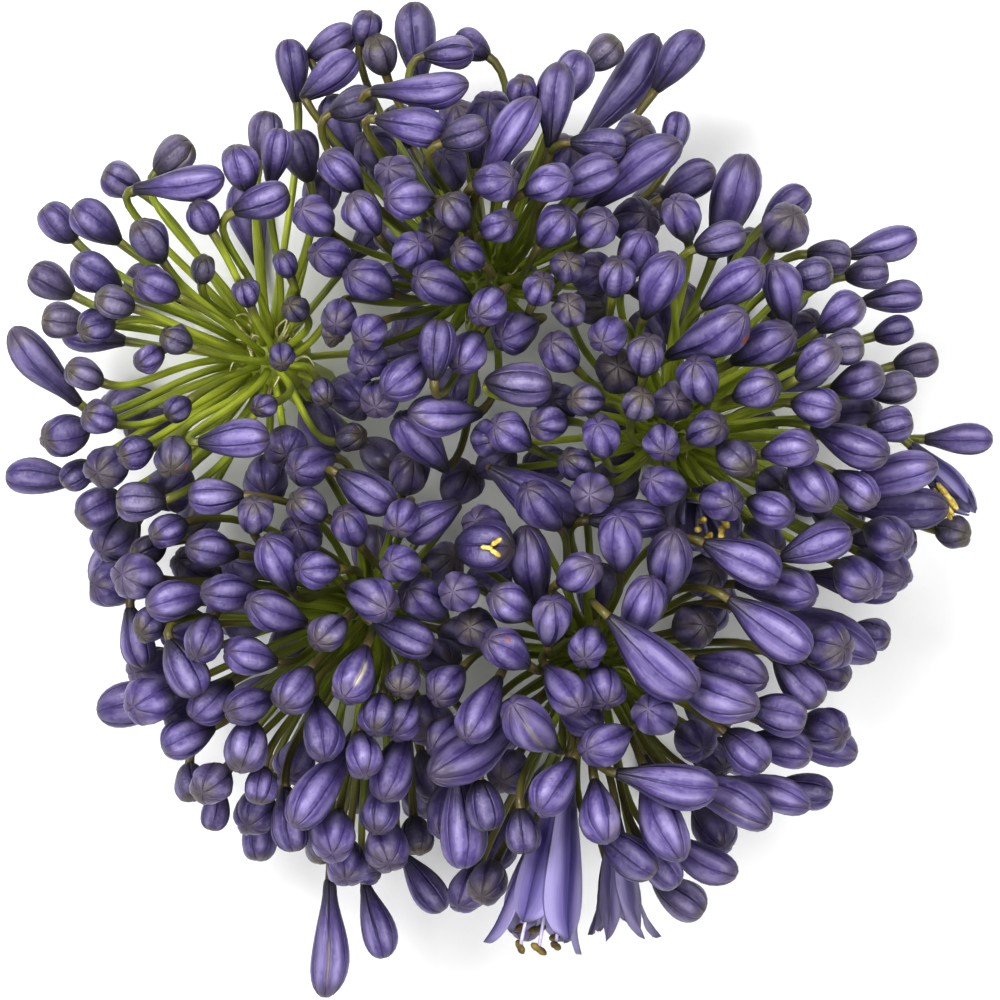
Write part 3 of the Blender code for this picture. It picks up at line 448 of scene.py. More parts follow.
def infillPlaces(f):
    # Owners, middles and room of the places that may take an infill bud. They are off the open
    # middle and have room round them when they are seen from above.
    s = infillRule
    steps = np.arange(-s["plan"], s["plan"] + 0.1, s["step"])
    x, y = [a.ravel() for a in np.meshgrid(steps, steps)]
    middle = middleOf(f)
    a0, a1 = [end * [1, 1, 0] for end in coreLines(middle, f["axis"], f["length"], f["width"])]
    found = []
    for z in s["heights"]:
        points = np.column_stack([x, y, np.full(len(x), z)])
        owner = ownCell(points)
        away = np.linalg.norm(points - hubs[owner], axis=1)
        fromOpen = np.linalg.norm(points[:, :2] - s["openMiddle"][:2], axis=1)
        ok = (away > s["reach"][0]) & (away < s["reach"][1]) & (fromOpen > s["openMiddle"][2])
        ok &= np.linalg.norm(points[:, :2], axis=1) < s["within"]
        points, owner = points[ok], owner[ok]
        flat = points * [1, 1, 0]
        room = distances(flat, flat + [0, 0, 1e-3], a0, a1) - f["width"][None] / 2
        room = np.where(middle[None, :, 2] > z - s["below"], room, 9)
        found.append(np.column_stack([owner, points, room.min(axis=1)]))
    found = np.concatenate(found)
    found = found[found[:, 4] > s["room"]]
    return found[:, 0].astype(int), found[:, 1:4], found[:, 4]


def infillRows(f, curves, rng):
    # Infill buds, each where the crowd is most open and nothing is in the way of the bud or its
    # stalk.
    s = infillRule
    owner, middle, room = infillPlaces(f)
    width = rng.uniform(*s["widths"], len(owner))
    age = s["ages"][0] + s["ages"][1] * rng.random(len(owner))
    length = budLength(width, age)
    axis = unit(unit(middle - hubs[owner]) + [0, 0, 0.9])
    a0, a1 = coreLines(middle, axis, length, width)
    s0, s1 = hubs[owner] + unit(middle - hubs[owner]) * 12, middle - axis * (length / 2)[:, None]
    b0, b1 = coreLines(middleOf(f), f["axis"], f["length"], f["width"])
    clear = distances(a0, a1, b0, b1) - (width[:, None] + f["width"][None]) / 2
    ok = clear.min(axis=1) > s["gap"]
    clear = distances(s0, s1, b0, b1) - f["width"][None] / 2
    ok &= clear.min(axis=1) > pedicelRadius * 0.6
    shares = np.linspace(0.15, 1, 14)
    line = np.stack([bezier(curves.transpose(1, 0, 2), share) for share in shares])
    p0, p1 = line[:-1].reshape(-1, 3), line[1:].reshape(-1, 3)
    for start in range(0, len(owner), 400):
        some = slice(start, start + 400)
        clear = distances(a0[some], a1[some], p0, p1).min(axis=1) - width[some] / 2
        ok[some] &= clear > pedicelRadius + s["gap"]
    past, _ = pastCell(owner, middle)
    ok &= (past + width[:, None] / 2).max(axis=1) < 0.2
    chosen = []
    score = np.where(ok, room + middle[:, 2] * s["heightWorth"], -1)
    for _ in range(s["count"]):
        best = int(score.argmax())
        if score[best] < 0:
            break
        chosen.append(best)
        own = slice(best, best + 1)
        clear = distances(a0, a1, a0[own], a1[own])[:, 0] - (width + width[best]) / 2
        score[clear < s["gap"]] = -1
        stalkWay = distances(a0, a1, s0[own], s1[own])[:, 0]
        score[stalkWay < width / 2 + pedicelRadius + s["gap"]] = -1
        plan = np.linalg.norm((middle - middle[best])[:, :2], axis=1) - width[best] / 2
        lower = middle[:, 2] < middle[best, 2] + s["below"]
        worth = np.minimum(score, plan + middle[:, 2] * s["heightWorth"])
        score = np.where(lower & (score > 0), worth, score)
        score[lower & (plan < s["room"])] = -1
    chosen = np.array(chosen, int)
    return [values[chosen] for values in (owner, middle, axis, length, width, age)]


def floretSet(rows, rng, flower=None):
    # A dictionary of arrays, one item for each floret.
    owner, middle, axis, length, width, age = rows
    n = len(owner)
    return {
        "owner": owner, "base": middle - axis * (length / 2)[:, None], "axis": axis,
        "length": length, "width": width, "age": age, "spin": rng.random(n) * math.tau,
        "flower": np.zeros(n, bool) if flower is None else flower,
    }


def layOut():
    # Every floret of the head, with the open flowers last and the infill buds before them.
    rng = np.random.default_rng(seed)
    marked = markedRows()
    guards = flowerGuards()
    spiral = spiralRows(rng, np.concatenate([marked[1][:, :2], guards[1][:, :2]]))
    low = lowRows(rng)
    groups = [marked, spiral, low[:6], guards]
    joined = [np.concatenate(values) for values in zip(*groups)]
    owner, middle, axis, length, width, age = joined
    n = len(owner)
    foot = np.zeros(n, bool)
    foot[len(marked[0]) + len(spiral[0]):][:len(low[6])] = low[6]
    axis[foot, 2] = 0
    axis = unit(axis)
    flower = np.arange(n) >= n - len(openFlowers)
    held = flower | (np.arange(n) < len(marked[0]))
    middle = settle(owner, middle, axis, length, width, foot, held)
    middle = pressTogether(owner, middle, axis, length, width, flower)
    crowd = floretSet((owner, middle, axis, length, width, age), rng, flower)
    extra = floretSet(infillRows(crowd, pedicelCurves(crowd), rng), rng)
    last = n - len(openFlowers)
    return {key: np.concatenate([a[:last], extra[key], a[last:]]) for key, a in crowd.items()}


pedicelRule = {
    "rootSpacing": 0.33,  # between the roots of pedicels, as a share of the hub's radius
    "rootSteps": 40,
    "rootDepth": 0.55,  # how far out in the hub a pedicel starts, as a share of its radius
    "arch": 0.5,  # how far it keeps its first direction, over the way to the bud
    "clearance": 0.2,  # from each pedicel to the plane between its umbel and the next
}


def spreadRoots(owner, way):
    # Turns the directions in which pedicels leave one hub apart, so that their roots stand evenly.
    same = owner[:, None] == owner[None]
    for _ in range(pedicelRule["rootSteps"]):
        apart = way[:, None] - way[None]
        gap = np.linalg.norm(apart, axis=2)
        need = np.where(same, np.maximum(pedicelRule["rootSpacing"] - gap, 0), 0)
        np.fill_diagonal(need, 0)
        way = unit(way + 0.35 * (unit(apart) * need[..., None]).sum(1))
    return way


def pedicelCurves(f):
    # Control points (n, 4, 3) of each pedicel: out of the hub, arching up, then in along the bud.
    hub = hubs[f["owner"]]
    way = spreadRoots(f["owner"], unit(f["base"] - hub + [0, 0, 6]))
    far = np.linalg.norm(f["base"] - hub, axis=1)[:, None]
    p0 = hub + way * hubRadius * pedicelRule["rootDepth"]
    p1 = hub + way * far * pedicelRule["arch"]
    p2 = f["base"] - f["axis"] * np.minimum(far * 0.3, 9)
    for p in (p1, p2):
        thick = np.full(len(p), pedicelRadius * 1.3)
        p += cellShift(f["owner"], p, thick, f["axis"] * 0, pedicelRule["clearance"])
        p[:, 2] = np.maximum(p[:, 2], pedicelRadius + groundGap)
    return np.stack([p0, p1, p2, f["base"]], axis=1)


def bezier(curve, t):
    a, b, c, d = curve
    s = 1 - t
    return a * s ** 3 + b * 3 * s * s * t + c * 3 * s * t * t + d * t ** 3




class Wire:
    # One socket of a material. Arithmetic on it adds Math nodes.
    def __init__(self, recipe, socket):
        self.recipe = recipe
        self.socket = socket

    def math(self, operation, *values):
        return self.recipe.node("ShaderNodeMath", {"operation": operation}, dict(enumerate(values)))

    def __add__(self, other):
        return self.math("ADD", self, other)

    def __sub__(self, other):
        return self.math("SUBTRACT", self, other)

    def __rsub__(self, other):
        return self.math("SUBTRACT", other, self)

    def __mul__(self, other):
        return self.math("MULTIPLY", self, other)

    def __truediv__(self, other):
        return self.math("DIVIDE", self, other)

    def __abs__(self):
        return self.math("ABSOLUTE", self)

    __radd__ = __add__
    __rmul__ = __mul__

    def within(self, low, high):
        # 0 below low, 1 above high, smooth between.
        return self.recipe.node("ShaderNodeMapRange", {"interpolation_type": "SMOOTHSTEP"},
                                {"Value": self, "From Min": low, "From Max": high})

    def line(self, centre, width):
        # 1 where the value equals centre, falling off like a bell of this width.
        off = (self - centre) / width
        return self.math("EXPONENT", off * off * -1)

    def wave(self, repeats):
        # Distance to the nearest of this many evenly spaced marks, 0 to 0.5 of their spacing.
        return abs(self.math("FRACT", self * repeats + 0.5) - 0.5)

    def shuffled(self, times):
        # Another value from 0 to 1 for each item, from its own.
        return self.math("FRACT", self * times)

    def clamped(self):
        settings = {"operation": "ADD", "use_clamp": True}
        return self.recipe.node("ShaderNodeMath", settings, {0: self, 1: 0.0})


class Recipe:
    # A material and its one Principled shader.
    def __init__(self, name, roughness):
        self.material = bpy.data.materials.new(name)
        self.material.use_nodes = True
        self.tree = self.material.node_tree
        self.shader = self.tree.nodes["Principled BSDF"]
        self.shader.inputs["Roughness"].default_value = roughness

    def node(self, kind, settings=None, values=None, result=None):
        # A node of this type: its settings first, then the values or links of its sockets.
        made = self.tree.nodes.new(kind)
        for key, value in (settings or {}).items():
            setattr(made, key, value)
        for key, value in (values or {}).items():
            socket = made.inputs[key] if isinstance(key, int) else self.find(made.inputs, key)
            if isinstance(value, Wire):
                self.tree.links.new(value.socket, socket)
            else:
                socket.default_value = value
        return Wire(self, made.outputs[0] if result is None else self.find(made.outputs, result))

    def find(self, sockets, key):
        # The socket in use that has this name or identifier.
        return next(s for s in sockets if key in (s.identifier, s.name) and s.enabled)

    def attribute(self, name):
        return self.node("ShaderNodeAttribute", {"attribute_name": name}, result="Fac")

    def uv(self):
        # The piece's own map: across or around it, and along it.
        place = self.node("ShaderNodeUVMap", {"uv_map": "skin"})
        apart = self.node("ShaderNodeSeparateXYZ", None, {"Vector": place})
        return apart, Wire(self, apart.socket.node.outputs["Y"])

    def noise(self, x, y, z, detail=3.0):
        # Noise from -1 to 1 at a point made of three values.
        point = self.node("ShaderNodeCombineXYZ", None, {"X": x, "Y": y, "Z": z})
        values = {"Vector": point, "Scale": 1.0, "Detail": detail}
        return (self.node("ShaderNodeTexNoise", None, values, result="Fac") - 0.5) * 2

    def blend(self, mask, under, over):
        # Colour under where the mask is 0, over where it is 1.
        values = {"Factor_Float": mask, "A_Color": self.ink(under), "B_Color": self.ink(over)}
        return self.node("ShaderNodeMix", {"data_type": "RGBA"}, values, "Result_Color")

    def layers(self, colour, *layers):
        # Each layer, a mask and a colour, over those before it.
        for mask, over in layers:
            colour = self.blend(mask, colour, over)
        return colour

    def ink(self, colour):
        return colour if isinstance(colour, Wire) else (*colour, 1)

    def feed(self, socket, value):
        self.tree.links.new(value.socket, self.shader.inputs[socket])

    def relief(self, height, depth, strength=1.0):
        # Bumps of this depth in metres.
        values = {"Height": height, "Distance": depth, "Strength": strength}
        self.feed("Normal", self.node("ShaderNodeBump", None, values))


budFinish = {
    "violet": (0.107, 0.079, 0.224), "lilac": (0.278, 0.238, 0.412),
    "indigo": (0.019, 0.013, 0.056), "slate": (0.031, 0.027, 0.034),
    "olive": (0.104, 0.090, 0.050), "sage": (0.135, 0.130, 0.078), "grey": (0.200, 0.185, 0.250),
    "rust": (0.300, 0.095, 0.022), "cream": (0.520, 0.480, 0.360),
    "roughness": 0.40, "grooveDepth": 0.0004,
    "rusty": 0.37, "split": 0.83,  # buds whose tone is near these carry a rusty spot or a pale slit
}


def budMaterial():
    # Six furrows: an indigo wedge fills each at the base and fades to a fine line near the tip.
    # Between them the lobes are lilac past the middle, slate at the base, greyish olive at the tip.
    # Young buds are duller. Every bud is shifted by its own tone.
    f = budFinish
    m = Recipe("budSkin", f["roughness"])
    around, along = m.uv()
    ripe, tone = m.attribute("ripe"), m.attribute("tone")
    own, other = tone.shuffled(7.31), tone.shuffled(23.7)
    youth = 1 - ripe.within(0.05, 0.50)
    stretch = tone * 37
    blotch = m.noise(around * 5, along * 2.5, stretch + 11, 2.0)
    streaks = m.noise(around * 60, along * 2.0, stretch, 1.0)
    broad = m.noise(around * 2.5, along * 1.2, stretch + 23, 0.0)
    grain = m.noise(around * 26, along * 15, stretch + 31, 2.0)
    wander = m.noise(around * 9, along * 6, stretch, 0.0) * 0.009

    furrow = around.wave(6) / 6 + wander  # turns from the middle of the nearest furrow
    every = around.wave(3) / 3  # the same from every other furrow
    major = every.line(0, 0.05)
    wedge = (0.80 - along).clamped() * (0.036 - ripe * 0.018) + major * 0.004 + 0.003
    soft = 0.012 + along * -0.004
    dark = (1 - ((furrow - wedge) / soft).within(0.0, 1.0)) * (1 - along.within(0.50, 0.95) * 0.8)
    dark = dark * (0.36 + major * 0.5) * (broad * 0.9 + blotch * 0.5 + 0.9)

    lobe = along.within(0.22, 0.58) * (1 - along.within(0.80, 0.98))
    crest = (furrow / 0.0833).within(0.25, 1.0)
    light = (lobe * crest * 0.85 + streaks * 0.22 + blotch * 0.34 + broad * 0.36).clamped()
    dull = (blotch * 0.9 + broad * 0.6 + streaks * 0.2 - 0.25).clamped()
    dusky = (youth * 0.30 + blotch * 0.2).clamped() * (1 - lobe * 0.45)
    lines = streaks.within(0.25, 0.75) * (broad * 0.3 + 0.35)
    slit = tone.line(f["split"], 0.010) * (every / 0.02).line(0, 1.0) * along.within(0.35, 0.6)
    baseShade = 1 - (along + blotch * 0.05).within(0.02, 0.42)
    tip = along + blotch * 0.13 + broad * 0.06 + grain * 0.05 + other * 0.09
    spot = around.line(0.58, 0.05) * along.line(0.86, 0.05) + blotch * 0.10 + grain * 0.15
    rust = tone.line(f["rusty"], 0.018) * spot.within(0.35, 0.75) * 0.9
    m.feed("Base Color", m.layers(
        f["violet"],
        (light, f["lilac"]),
        (dull * 0.45, f["grey"]),
        (dusky, f["slate"]),
        (youth * other.within(0.4, 0.95) * 0.42, f["sage"]),
        (own.within(0.35, 1.0) * 0.36, f["indigo"]),
        (grain.within(0.05, 0.75) * 0.45, f["lilac"]),
        ((0 - grain).within(0.05, 0.75) * 0.5, f["indigo"]),
        (lines, f["indigo"]),
        (dark.clamped() * 0.84, f["indigo"]),
        (slit * (1 - along.within(0.85, 0.95)), f["cream"]),
        (baseShade * 0.92, f["slate"]),
        (tip.within(0.88, 1.06) * (0.42 + youth * 0.28), f["olive"]),
        (rust, f["rust"])))
    m.feed("Roughness", streaks * 0.06 + grain * 0.12 + f["roughness"])
    height = streaks * 0.10 + grain * 0.22 - furrow.line(0, 0.010) * 0.6 + 0.5
    m.relief(height, f["grooveDepth"], 0.9)
    return m.material


stalkFinish = {
    "leaf": (0.190, 0.255, 0.021), "lime": (0.540, 0.590, 0.085), "olive": (0.132, 0.116, 0.034),
    "brown": (0.075, 0.048, 0.045), "roughness": 0.38, "grooveDepth": 0.00012,
    "lush": {"umbel_left": 1.0, "umbel_right": 1.0, "umbel_top": 0.7, "umbel_lower_left": 0.65,
             "umbel_lower_right": 0.6},  # how fresh and green each umbel's stalks are, and on the right umbel also painted light that brightens its shaded stalks
}


def stalkMaterial():
    # Lime by the hub of a lush umbel, leaf green along the stalk, olive and brown under the bud.
    # The lushness also carries painted light: the shaded right umbel's stalks are made brighter and
    # limer than their own colour.
    f = stalkFinish
    m = Recipe("stalkSkin", f["roughness"])
    around, along = m.uv()
    tone, lush = m.attribute("tone"), m.attribute("lush")
    stretch = tone * 53
    streaks = m.noise(around * 14, along * 4, stretch, 2.0)
    blotch = m.noise(around * 2, along * 6, stretch + 5)
    # the lushness pushes the stalks towards leaf green and lime: the umbel's own freshness, and on
    # the right umbel painted light over its shade
    fresh = (lush * 1.5 - along * 1.1 + blotch * 0.2 + tone * 0.35 - 0.2).clamped()
    m.feed("Base Color", m.layers(
        f["olive"],
        (fresh, f["leaf"]),
        ((fresh * 1.4 - 0.85 + streaks * 0.35 + tone * 0.15).clamped(), f["lime"]),
        ((along + blotch * 0.1).within(0.80, 1.05) * tone, f["brown"]),
        (streaks.within(0.0, 0.8) * (lush * 0.35 + 0.1), f["lime"])))
    m.feed("Roughness", blotch * 0.08 + f["roughness"])
    m.relief(streaks * 0.5 + 0.5, f["grooveDepth"], 0.7)
    return m.material


tepalFinish = {
    "lilac": (0.260, 0.230, 0.400), "violet": (0.105, 0.080, 0.235),
    "stripe": (0.040, 0.028, 0.130), "slate": (0.050, 0.042, 0.072),
    "pale": (0.400, 0.370, 0.560), "faded": (0.170, 0.150, 0.215),
    "roughness": 0.45, "grooveDepth": 0.0002,
    "stripeWidth": 0.34,  # of the blade, towards the tube
}


def tepalMaterial(name, fading):
    # A dark midstripe on a lilac blade, broad towards the fused tube and fine at the tip, with
    # veins beside it. The map runs 0 to 1 across the outer face and 2 to 3 across the paler inner.
    # Fading, from 0 to 1, dulls an old flower from its tips.
    f = tepalFinish
    m = Recipe(name, f["roughness"])
    around, along = m.uv()
    tone = m.attribute("tone")
    inner = around.within(1.4, 1.6)
    off = abs(around - inner * 2 - 0.5)
    veins = m.noise(around * 34, along * 1.5, tone * 41, 2.0)
    blotch = m.noise(around * 4, along * 4, tone * 41 + 7)
    edge = (off + blotch * 0.08 + veins * 0.05).within(0.06, 0.42)
    width = (1.02 - along).clamped() * f["stripeWidth"] + 0.024
    stripe = (1 - ((off + veins * 0.015) / width).within(0.35, 1.5)) * (blotch * 0.25 + 0.85)
    tube = 1 - (along + blotch * 0.05).within(0.02, 0.55)
    layers = [
        (edge, f["lilac"]),
        (inner * 0.65, f["pale"]),
        (stripe * (1 - inner * 0.55), f["stripe"]),
        (veins.within(0.25, 0.8) * 0.35, f["violet"]),
        (tube * 0.75, f["slate"]),
        ((along + blotch * 0.02).within(0.95, 1.0) * 0.5, f["slate"]),
    ]
    if fading:
        dulled = (along * 0.8 + blotch * 0.3).clamped()
        dead = (blotch - veins * 0.3).within(0.1, 0.6)
        layers += [(dulled * fading, f["faded"]), (dead * fading * 0.7, f["slate"])]
    m.feed("Base Color", m.layers(f["violet"], *layers))
    m.feed("Roughness", veins * 0.06 + f["roughness"])
    m.relief(veins * 0.3 - off.line(0, 0.05) * 0.6 + 0.5, f["grooveDepth"], 0.8)
    return m.material


def plainLivingMaterial(name, dark, light, roughness, grain):
    # Two shades of one colour, mottled at this many blotches a metre.
    m = Recipe(name, roughness)
    place = m.node("ShaderNodeTexCoord", result="Object")
    values = {"Vector": place, "Scale": grain, "Detail": 3.0}
    cloud = m.node("ShaderNodeTexNoise", None, values, result="Fac")
    m.feed("Base Color", m.blend(cloud.within(0.3, 0.7), dark, light))
    m.feed("Roughness", (cloud - 0.5) * 0.2 + roughness)
    m.relief(cloud, 0.0002, 0.6)
    return m.material


def gridSheet(rows, turns):
    # Quads and their map for a grid of rows by points round it. The last point of turns closes the
    # seam on the first; quads run round first and then along, so they face outwards.
    cols = len(turns) - 1
    row = np.arange(len(rows) - 1)[:, None]
    col = np.arange(cols)[None]
    here, after = row * cols + col, row * cols + (col + 1) % cols
    quads = np.stack([here, after, after + cols, here + cols], -1)
    u0, u1 = [np.broadcast_to(u, here.shape) for u in (turns[:-1][None], turns[1:][None])]
    v0, v1 = [np.broadcast_to(v, here.shape) for v in (rows[:-1][:, None], rows[1:][:, None])]
    corners = np.stack([np.stack([u0, u1, u1, u0], -1), np.stack([v0, v0, v1, v1], -1)], -1)
    return quads.reshape(-1, 4), corners.reshape(-1, 4, 2)


def poleCaps(rows, turns, base, tip):
    # Triangles from the first ring to the pole at index base, and from the last to that at tip.
    cols = len(turns) - 1
    col = np.arange(cols)
    nextCol = (col + 1) % cols
    top = (len(rows) - 1) * cols
    low = np.stack([nextCol, col, np.full(cols, base)], -1)
    high = np.stack([top + col, top + nextCol, np.full(cols, tip)], -1)
    u0, u1 = turns[:-1], turns[1:]
    middle = (u0 + u1) / 2
    lowMap = np.stack([np.stack([u1, u0, middle], -1), np.full((cols, 3), rows[0])], -1)
    highMap = np.stack([np.stack([u0, u1, middle], -1), np.full((cols, 3), rows[-1])], -1)
    return np.concatenate([low, high]), np.concatenate([lowMap, highMap])


def closedSkins(rings, poles, rows, turns, **marks):
    # One closed skin for each item: rings (n, rows, around, 3), poles (n, 2, 3) at its two ends.
    # Marks are one number per item and become attributes of its points.
    n, r, c = rings.shape[:3]
    count = r * c + 2
    points = np.concatenate([rings.reshape(n, r * c, 3), poles], axis=1).reshape(-1, 3)
    quads, quadMap = gridSheet(rows, turns)
    caps, capMap = poleCaps(rows, turns, r * c, r * c + 1)
    shift = (np.arange(n) * count)[:, None, None]
    return {
        "points": points, "quads": (quads[None] + shift).reshape(-1, 4),
        "caps": (caps[None] + shift).reshape(-1, 3),
        "quadMap": np.tile(quadMap, (n, 1, 1)), "capMap": np.tile(capMap, (n, 1, 1)),
        "marks": {key: np.repeat(value, count) for key, value in marks.items()},
    }


def joinSkins(skins):
    # Several skins as one. Corner numbers move past the points of the skins before.
    shifts = np.cumsum([0] + [len(s["points"]) for s in skins[:-1]])
    joined = {}
    for key in ("points", "quadMap", "capMap"):
        joined[key] = np.concatenate([s[key] for s in skins])
    for key in ("quads", "caps"):
        joined[key] = np.concatenate([s[key] + shift for s, shift in zip(skins, shifts)])
    marks = skins[0]["marks"]
    joined["marks"] = {key: np.concatenate([s["marks"][key] for s in skins]) for key in marks}
    return joined


def makePiece(name, skin, material, node):
    # The mesh in metres, kept in its CAD node's box, which also presses the low buds flat.
    low, high = (np.array(corner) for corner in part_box(node))
    places = np.clip((skin["points"] + headOffset) * mm, low, high)
    quads, caps = skin["quads"], skin["caps"]
    corners = np.concatenate([quads.ravel(), caps.ravel()])
    starts = np.concatenate([np.arange(len(quads)) * 4, quads.size + np.arange(len(caps)) * 3])
    cornerMap = np.concatenate([skin["quadMap"].reshape(-1, 2), skin["capMap"].reshape(-1, 2)])
    mesh = bpy.data.meshes.new(name)
    mesh.vertices.add(len(places))
    mesh.vertices.foreach_set("co", places.ravel())
    mesh.loops.add(len(corners))
    mesh.loops.foreach_set("vertex_index", corners.astype(np.int32))
    mesh.polygons.add(len(starts))
    mesh.polygons.foreach_set("loop_start", starts.astype(np.int32))
    mesh.update(calc_edges=True)
    mesh.uv_layers.new(name="skin").data.foreach_set("uv", cornerMap.ravel().astype(np.float32))
    for key, values in skin["marks"].items():
        attribute = mesh.attributes.new(key, "FLOAT", "POINT")
        attribute.data.foreach_set("value", values.astype(np.float32))
    mesh.shade_smooth()
    mesh.materials.append(material)
    piece = bpy.data.objects.new(name, mesh)
    bpy.context.scene.collection.objects.link(piece)
    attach(piece, "root")
    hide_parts(node)


def sidesOf(axis):
    # Two unit vectors across each axis.
    helper = np.where(np.abs(axis[..., 2:3]) < 0.9, [0, 0, 1.0], [1.0, 0, 0])
    side = unit(np.cross(helper, axis))
    return side, np.cross(axis, side)


budShape = {
    "rows": 15,
    "offsets": (0.0, 0.2, 0.5, 0.8),  # points in each sixth of the way round, closer by the furrows
    "rise": (0.52, 0.80),  # power of the outline at the base, and what ripeness adds
    "fall": (0.36, 0.24),  # the same at the tip
    "baseRadius": 0.95,
    "seat": 0.62,  # of that radius, where the bud sits on its stalk
    "furrowWidth": 0.030,  # of a turn
    "furrowDepth": 0.075,  # of the radius
    "tipCrease": 0.13,  # more of it near the tip, where the tepals' ends meet
    "squareness": 0.025,
    "tipPlace": 0.985,  # of the length, so that the tepals' ends close on a small dent
    "bend": 0.05,  # of the length
    "crumple": 0.035,  # of the radius, uneven swellings near the tip
}


def budOutline(rows, width, ripe):
    # Radius along a bud: t^a (1-t)^b, scaled to 1 at its widest. a grows with ripeness, so a young
    # bud is round and a ripe one a club. A slimmer cone joins it to its stalk.
    s = budShape
    t, ripe = rows[None], ripe[:, None]
    a = s["rise"][0] + s["rise"][1] * ripe
    b = s["fall"][0] + s["fall"][1] * ripe
    peak = (a / (a + b)) ** a * (b / (a + b)) ** b
    radius = width[:, None] / 2 * t ** a * (1 - t) ** b / peak
    shoulder = s["seat"] + (1 - s["seat"]) * np.sin(np.clip(t / 0.07, 0, 1) * math.pi / 2)
    stem = s["baseRadius"] * shoulder * (1 - t) ** 1.5 * (1 + 0.6 * ripe)
    return np.sqrt(radius ** 2 + stem ** 2)


def budRelief(rows, around, ripe, phase):
    # What the radius is multiplied by: six furrows cut in between the tepals and deeper at the tip,
    # a slight three-sidedness, and three waves round the tip that swell it unevenly.
    s = budShape
    sixth = np.abs((around * 6 + 0.5) % 1 - 0.5) / 6
    third = np.abs((around * 3 + 0.5) % 1 - 0.5) / 3
    furrow = np.exp(-(sixth / s["furrowWidth"]) ** 2) * (0.7 + 0.3 * np.exp(-(third / 0.05) ** 2))
    crease = s["tipCrease"] * np.clip((rows - 0.6) / 0.35, 0, 1) ** 2
    depth = s["furrowDepth"] * np.clip((rows - 0.2) / 0.4, 0, 1) + crease
    lumps = s["squareness"] * np.cos(around * 3 * math.tau)[None] * np.sin(math.pi * rows)[:, None]
    waves = sum(np.cos(around[None] * math.tau * k + phase[:, j:j + 1])
                for j, k in enumerate((2, 3, 5)))
    young = np.clip(1 - ripe / 0.6, 0, 1)[:, None]
    crumpled = np.clip((rows[None] - (0.55 - 0.4 * young)) / 0.4, 0, 1)
    crumple = s["crumple"] * (1 + 0.9 * young) * crumpled
    even = (1 - depth[:, None] * furrow[None] + lumps)[None]
    return even + crumple[..., None] * waves[:, None]


def budSkins(f, chosen):
    # Rings of the outline times the relief, along a centre line that sways to one side.
    s = budShape
    base, axis, length = f["base"][chosen], f["axis"][chosen], f["length"][chosen]
    width, ripe, spin = f["width"][chosen], f["age"][chosen], f["spin"][chosen]
    rng = np.random.default_rng(seed + 50)
    count = len(f["owner"])
    tone = rng.random(count)[chosen]
    lean = rng.random(count)[chosen] * math.tau
    phase = rng.random((count, 3))[chosen] * math.tau
    rows = 0.5 - 0.5 * np.cos(np.linspace(0.05, 1, s["rows"] + 1)[:-1] * math.pi)
    turns = np.append(((np.arange(6)[:, None] + np.array(s["offsets"])) / 6).ravel(), 1.0)
    around = turns[:-1]
    outline = budOutline(rows, width, ripe)
    radius = outline[:, :, None] * budRelief(rows, around, ripe, phase)
    side, other = sidesOf(axis)
    turned = side * np.cos(spin)[:, None] + other * np.sin(spin)[:, None]
    across = np.cross(axis, turned)
    angle = around * math.tau
    ringWay = (turned[:, None, None] * np.cos(angle)[None, None, :, None]
               + across[:, None, None] * np.sin(angle)[None, None, :, None])
    sway = turned * np.cos(lean)[:, None] + across * np.sin(lean)[:, None]
    sway = sway * (s["bend"] * length * ripe)[:, None]
    bow = np.sin(math.pi * rows) - 0.5 * np.sin(math.tau * rows) * 0.6
    centre = base[:, None] + axis[:, None] * (length[:, None] * rows)[:, :, None]
    centre = centre + bow[None, :, None] * sway[:, None]
    rings = centre[:, :, None] + ringWay * radius[..., None]
    poles = np.stack([base, base + axis * (length * s["tipPlace"])[:, None]], axis=1)
    return closedSkins(rings, poles, rows, turns, ripe=ripe, tone=tone)


def tubeRings(points, way, side, radius, around):
    # Rings round lines of points (n, rows, 3): from each point, this row's radius times the cosine
    # and sine of the angle along two directions across the line. Side is made square to its way.
    side = unit(side - way * (side * way).sum(-1, keepdims=True))
    other = np.cross(way, side)
    angle = np.arange(around) / around * math.tau
    ringWay = side[:, :, None] * np.cos(angle)[:, None] + other[:, :, None] * np.sin(angle)[:, None]
    return points[:, :, None] + ringWay * radius[None, :, None, None]


stalkShape = {
    "rows": 13, "around": 8,
    "radius": ((0, 0.92), (0.25, 0.76), (0.78, 0.76), (1, 1.02)),  # at shares of the length
    "intoBud": 0.8,
}


def stalkSkins(f, curves, chosen, lush):
    # A round tube along each pedicel's curve, from inside the hub to inside the bud.
    s = stalkShape
    p0, p1, p2, p3 = (curves[chosen, k][:, None] for k in range(4))
    p3 = p3 + f["axis"][chosen][:, None] * s["intoBud"]
    rows = np.linspace(0, 1, s["rows"])
    t = rows[None, :, None]
    u = 1 - t
    points = bezier((p0, p1, p2, p3), t)
    way = unit((p1 - p0) * u * u + (p2 - p1) * 2 * u * t + (p3 - p2) * t * t)
    chord = (p3 - p0)[:, 0]
    plane = np.cross(chord, (p2 - p0)[:, 0] + (p1 - p0)[:, 0])
    flat = np.linalg.norm(plane, axis=1, keepdims=True) < 0.05 * (chord ** 2).sum(1, keepdims=True)
    plane = unit(np.where(flat, sidesOf(unit(chord))[0], plane))[:, None]
    radius = np.interp(rows, *np.transpose(s["radius"]))
    rings = tubeRings(points, way, plane, radius, s["around"])
    poles = np.stack([points[:, 0], points[:, -1] + way[:, -1] * 0.3], axis=1)
    turns = np.linspace(0, 1, s["around"] + 1)
    tone = np.random.default_rng(seed + 60).random(len(f["owner"]))[chosen]
    return closedSkins(rings, poles, rows, turns, tone=tone, lush=np.full(len(tone), lush))


hubShape = {"flatness": 0.86, "ripples": (0.05, 0.04), "tone": 0.2}  # the ripples over the radius


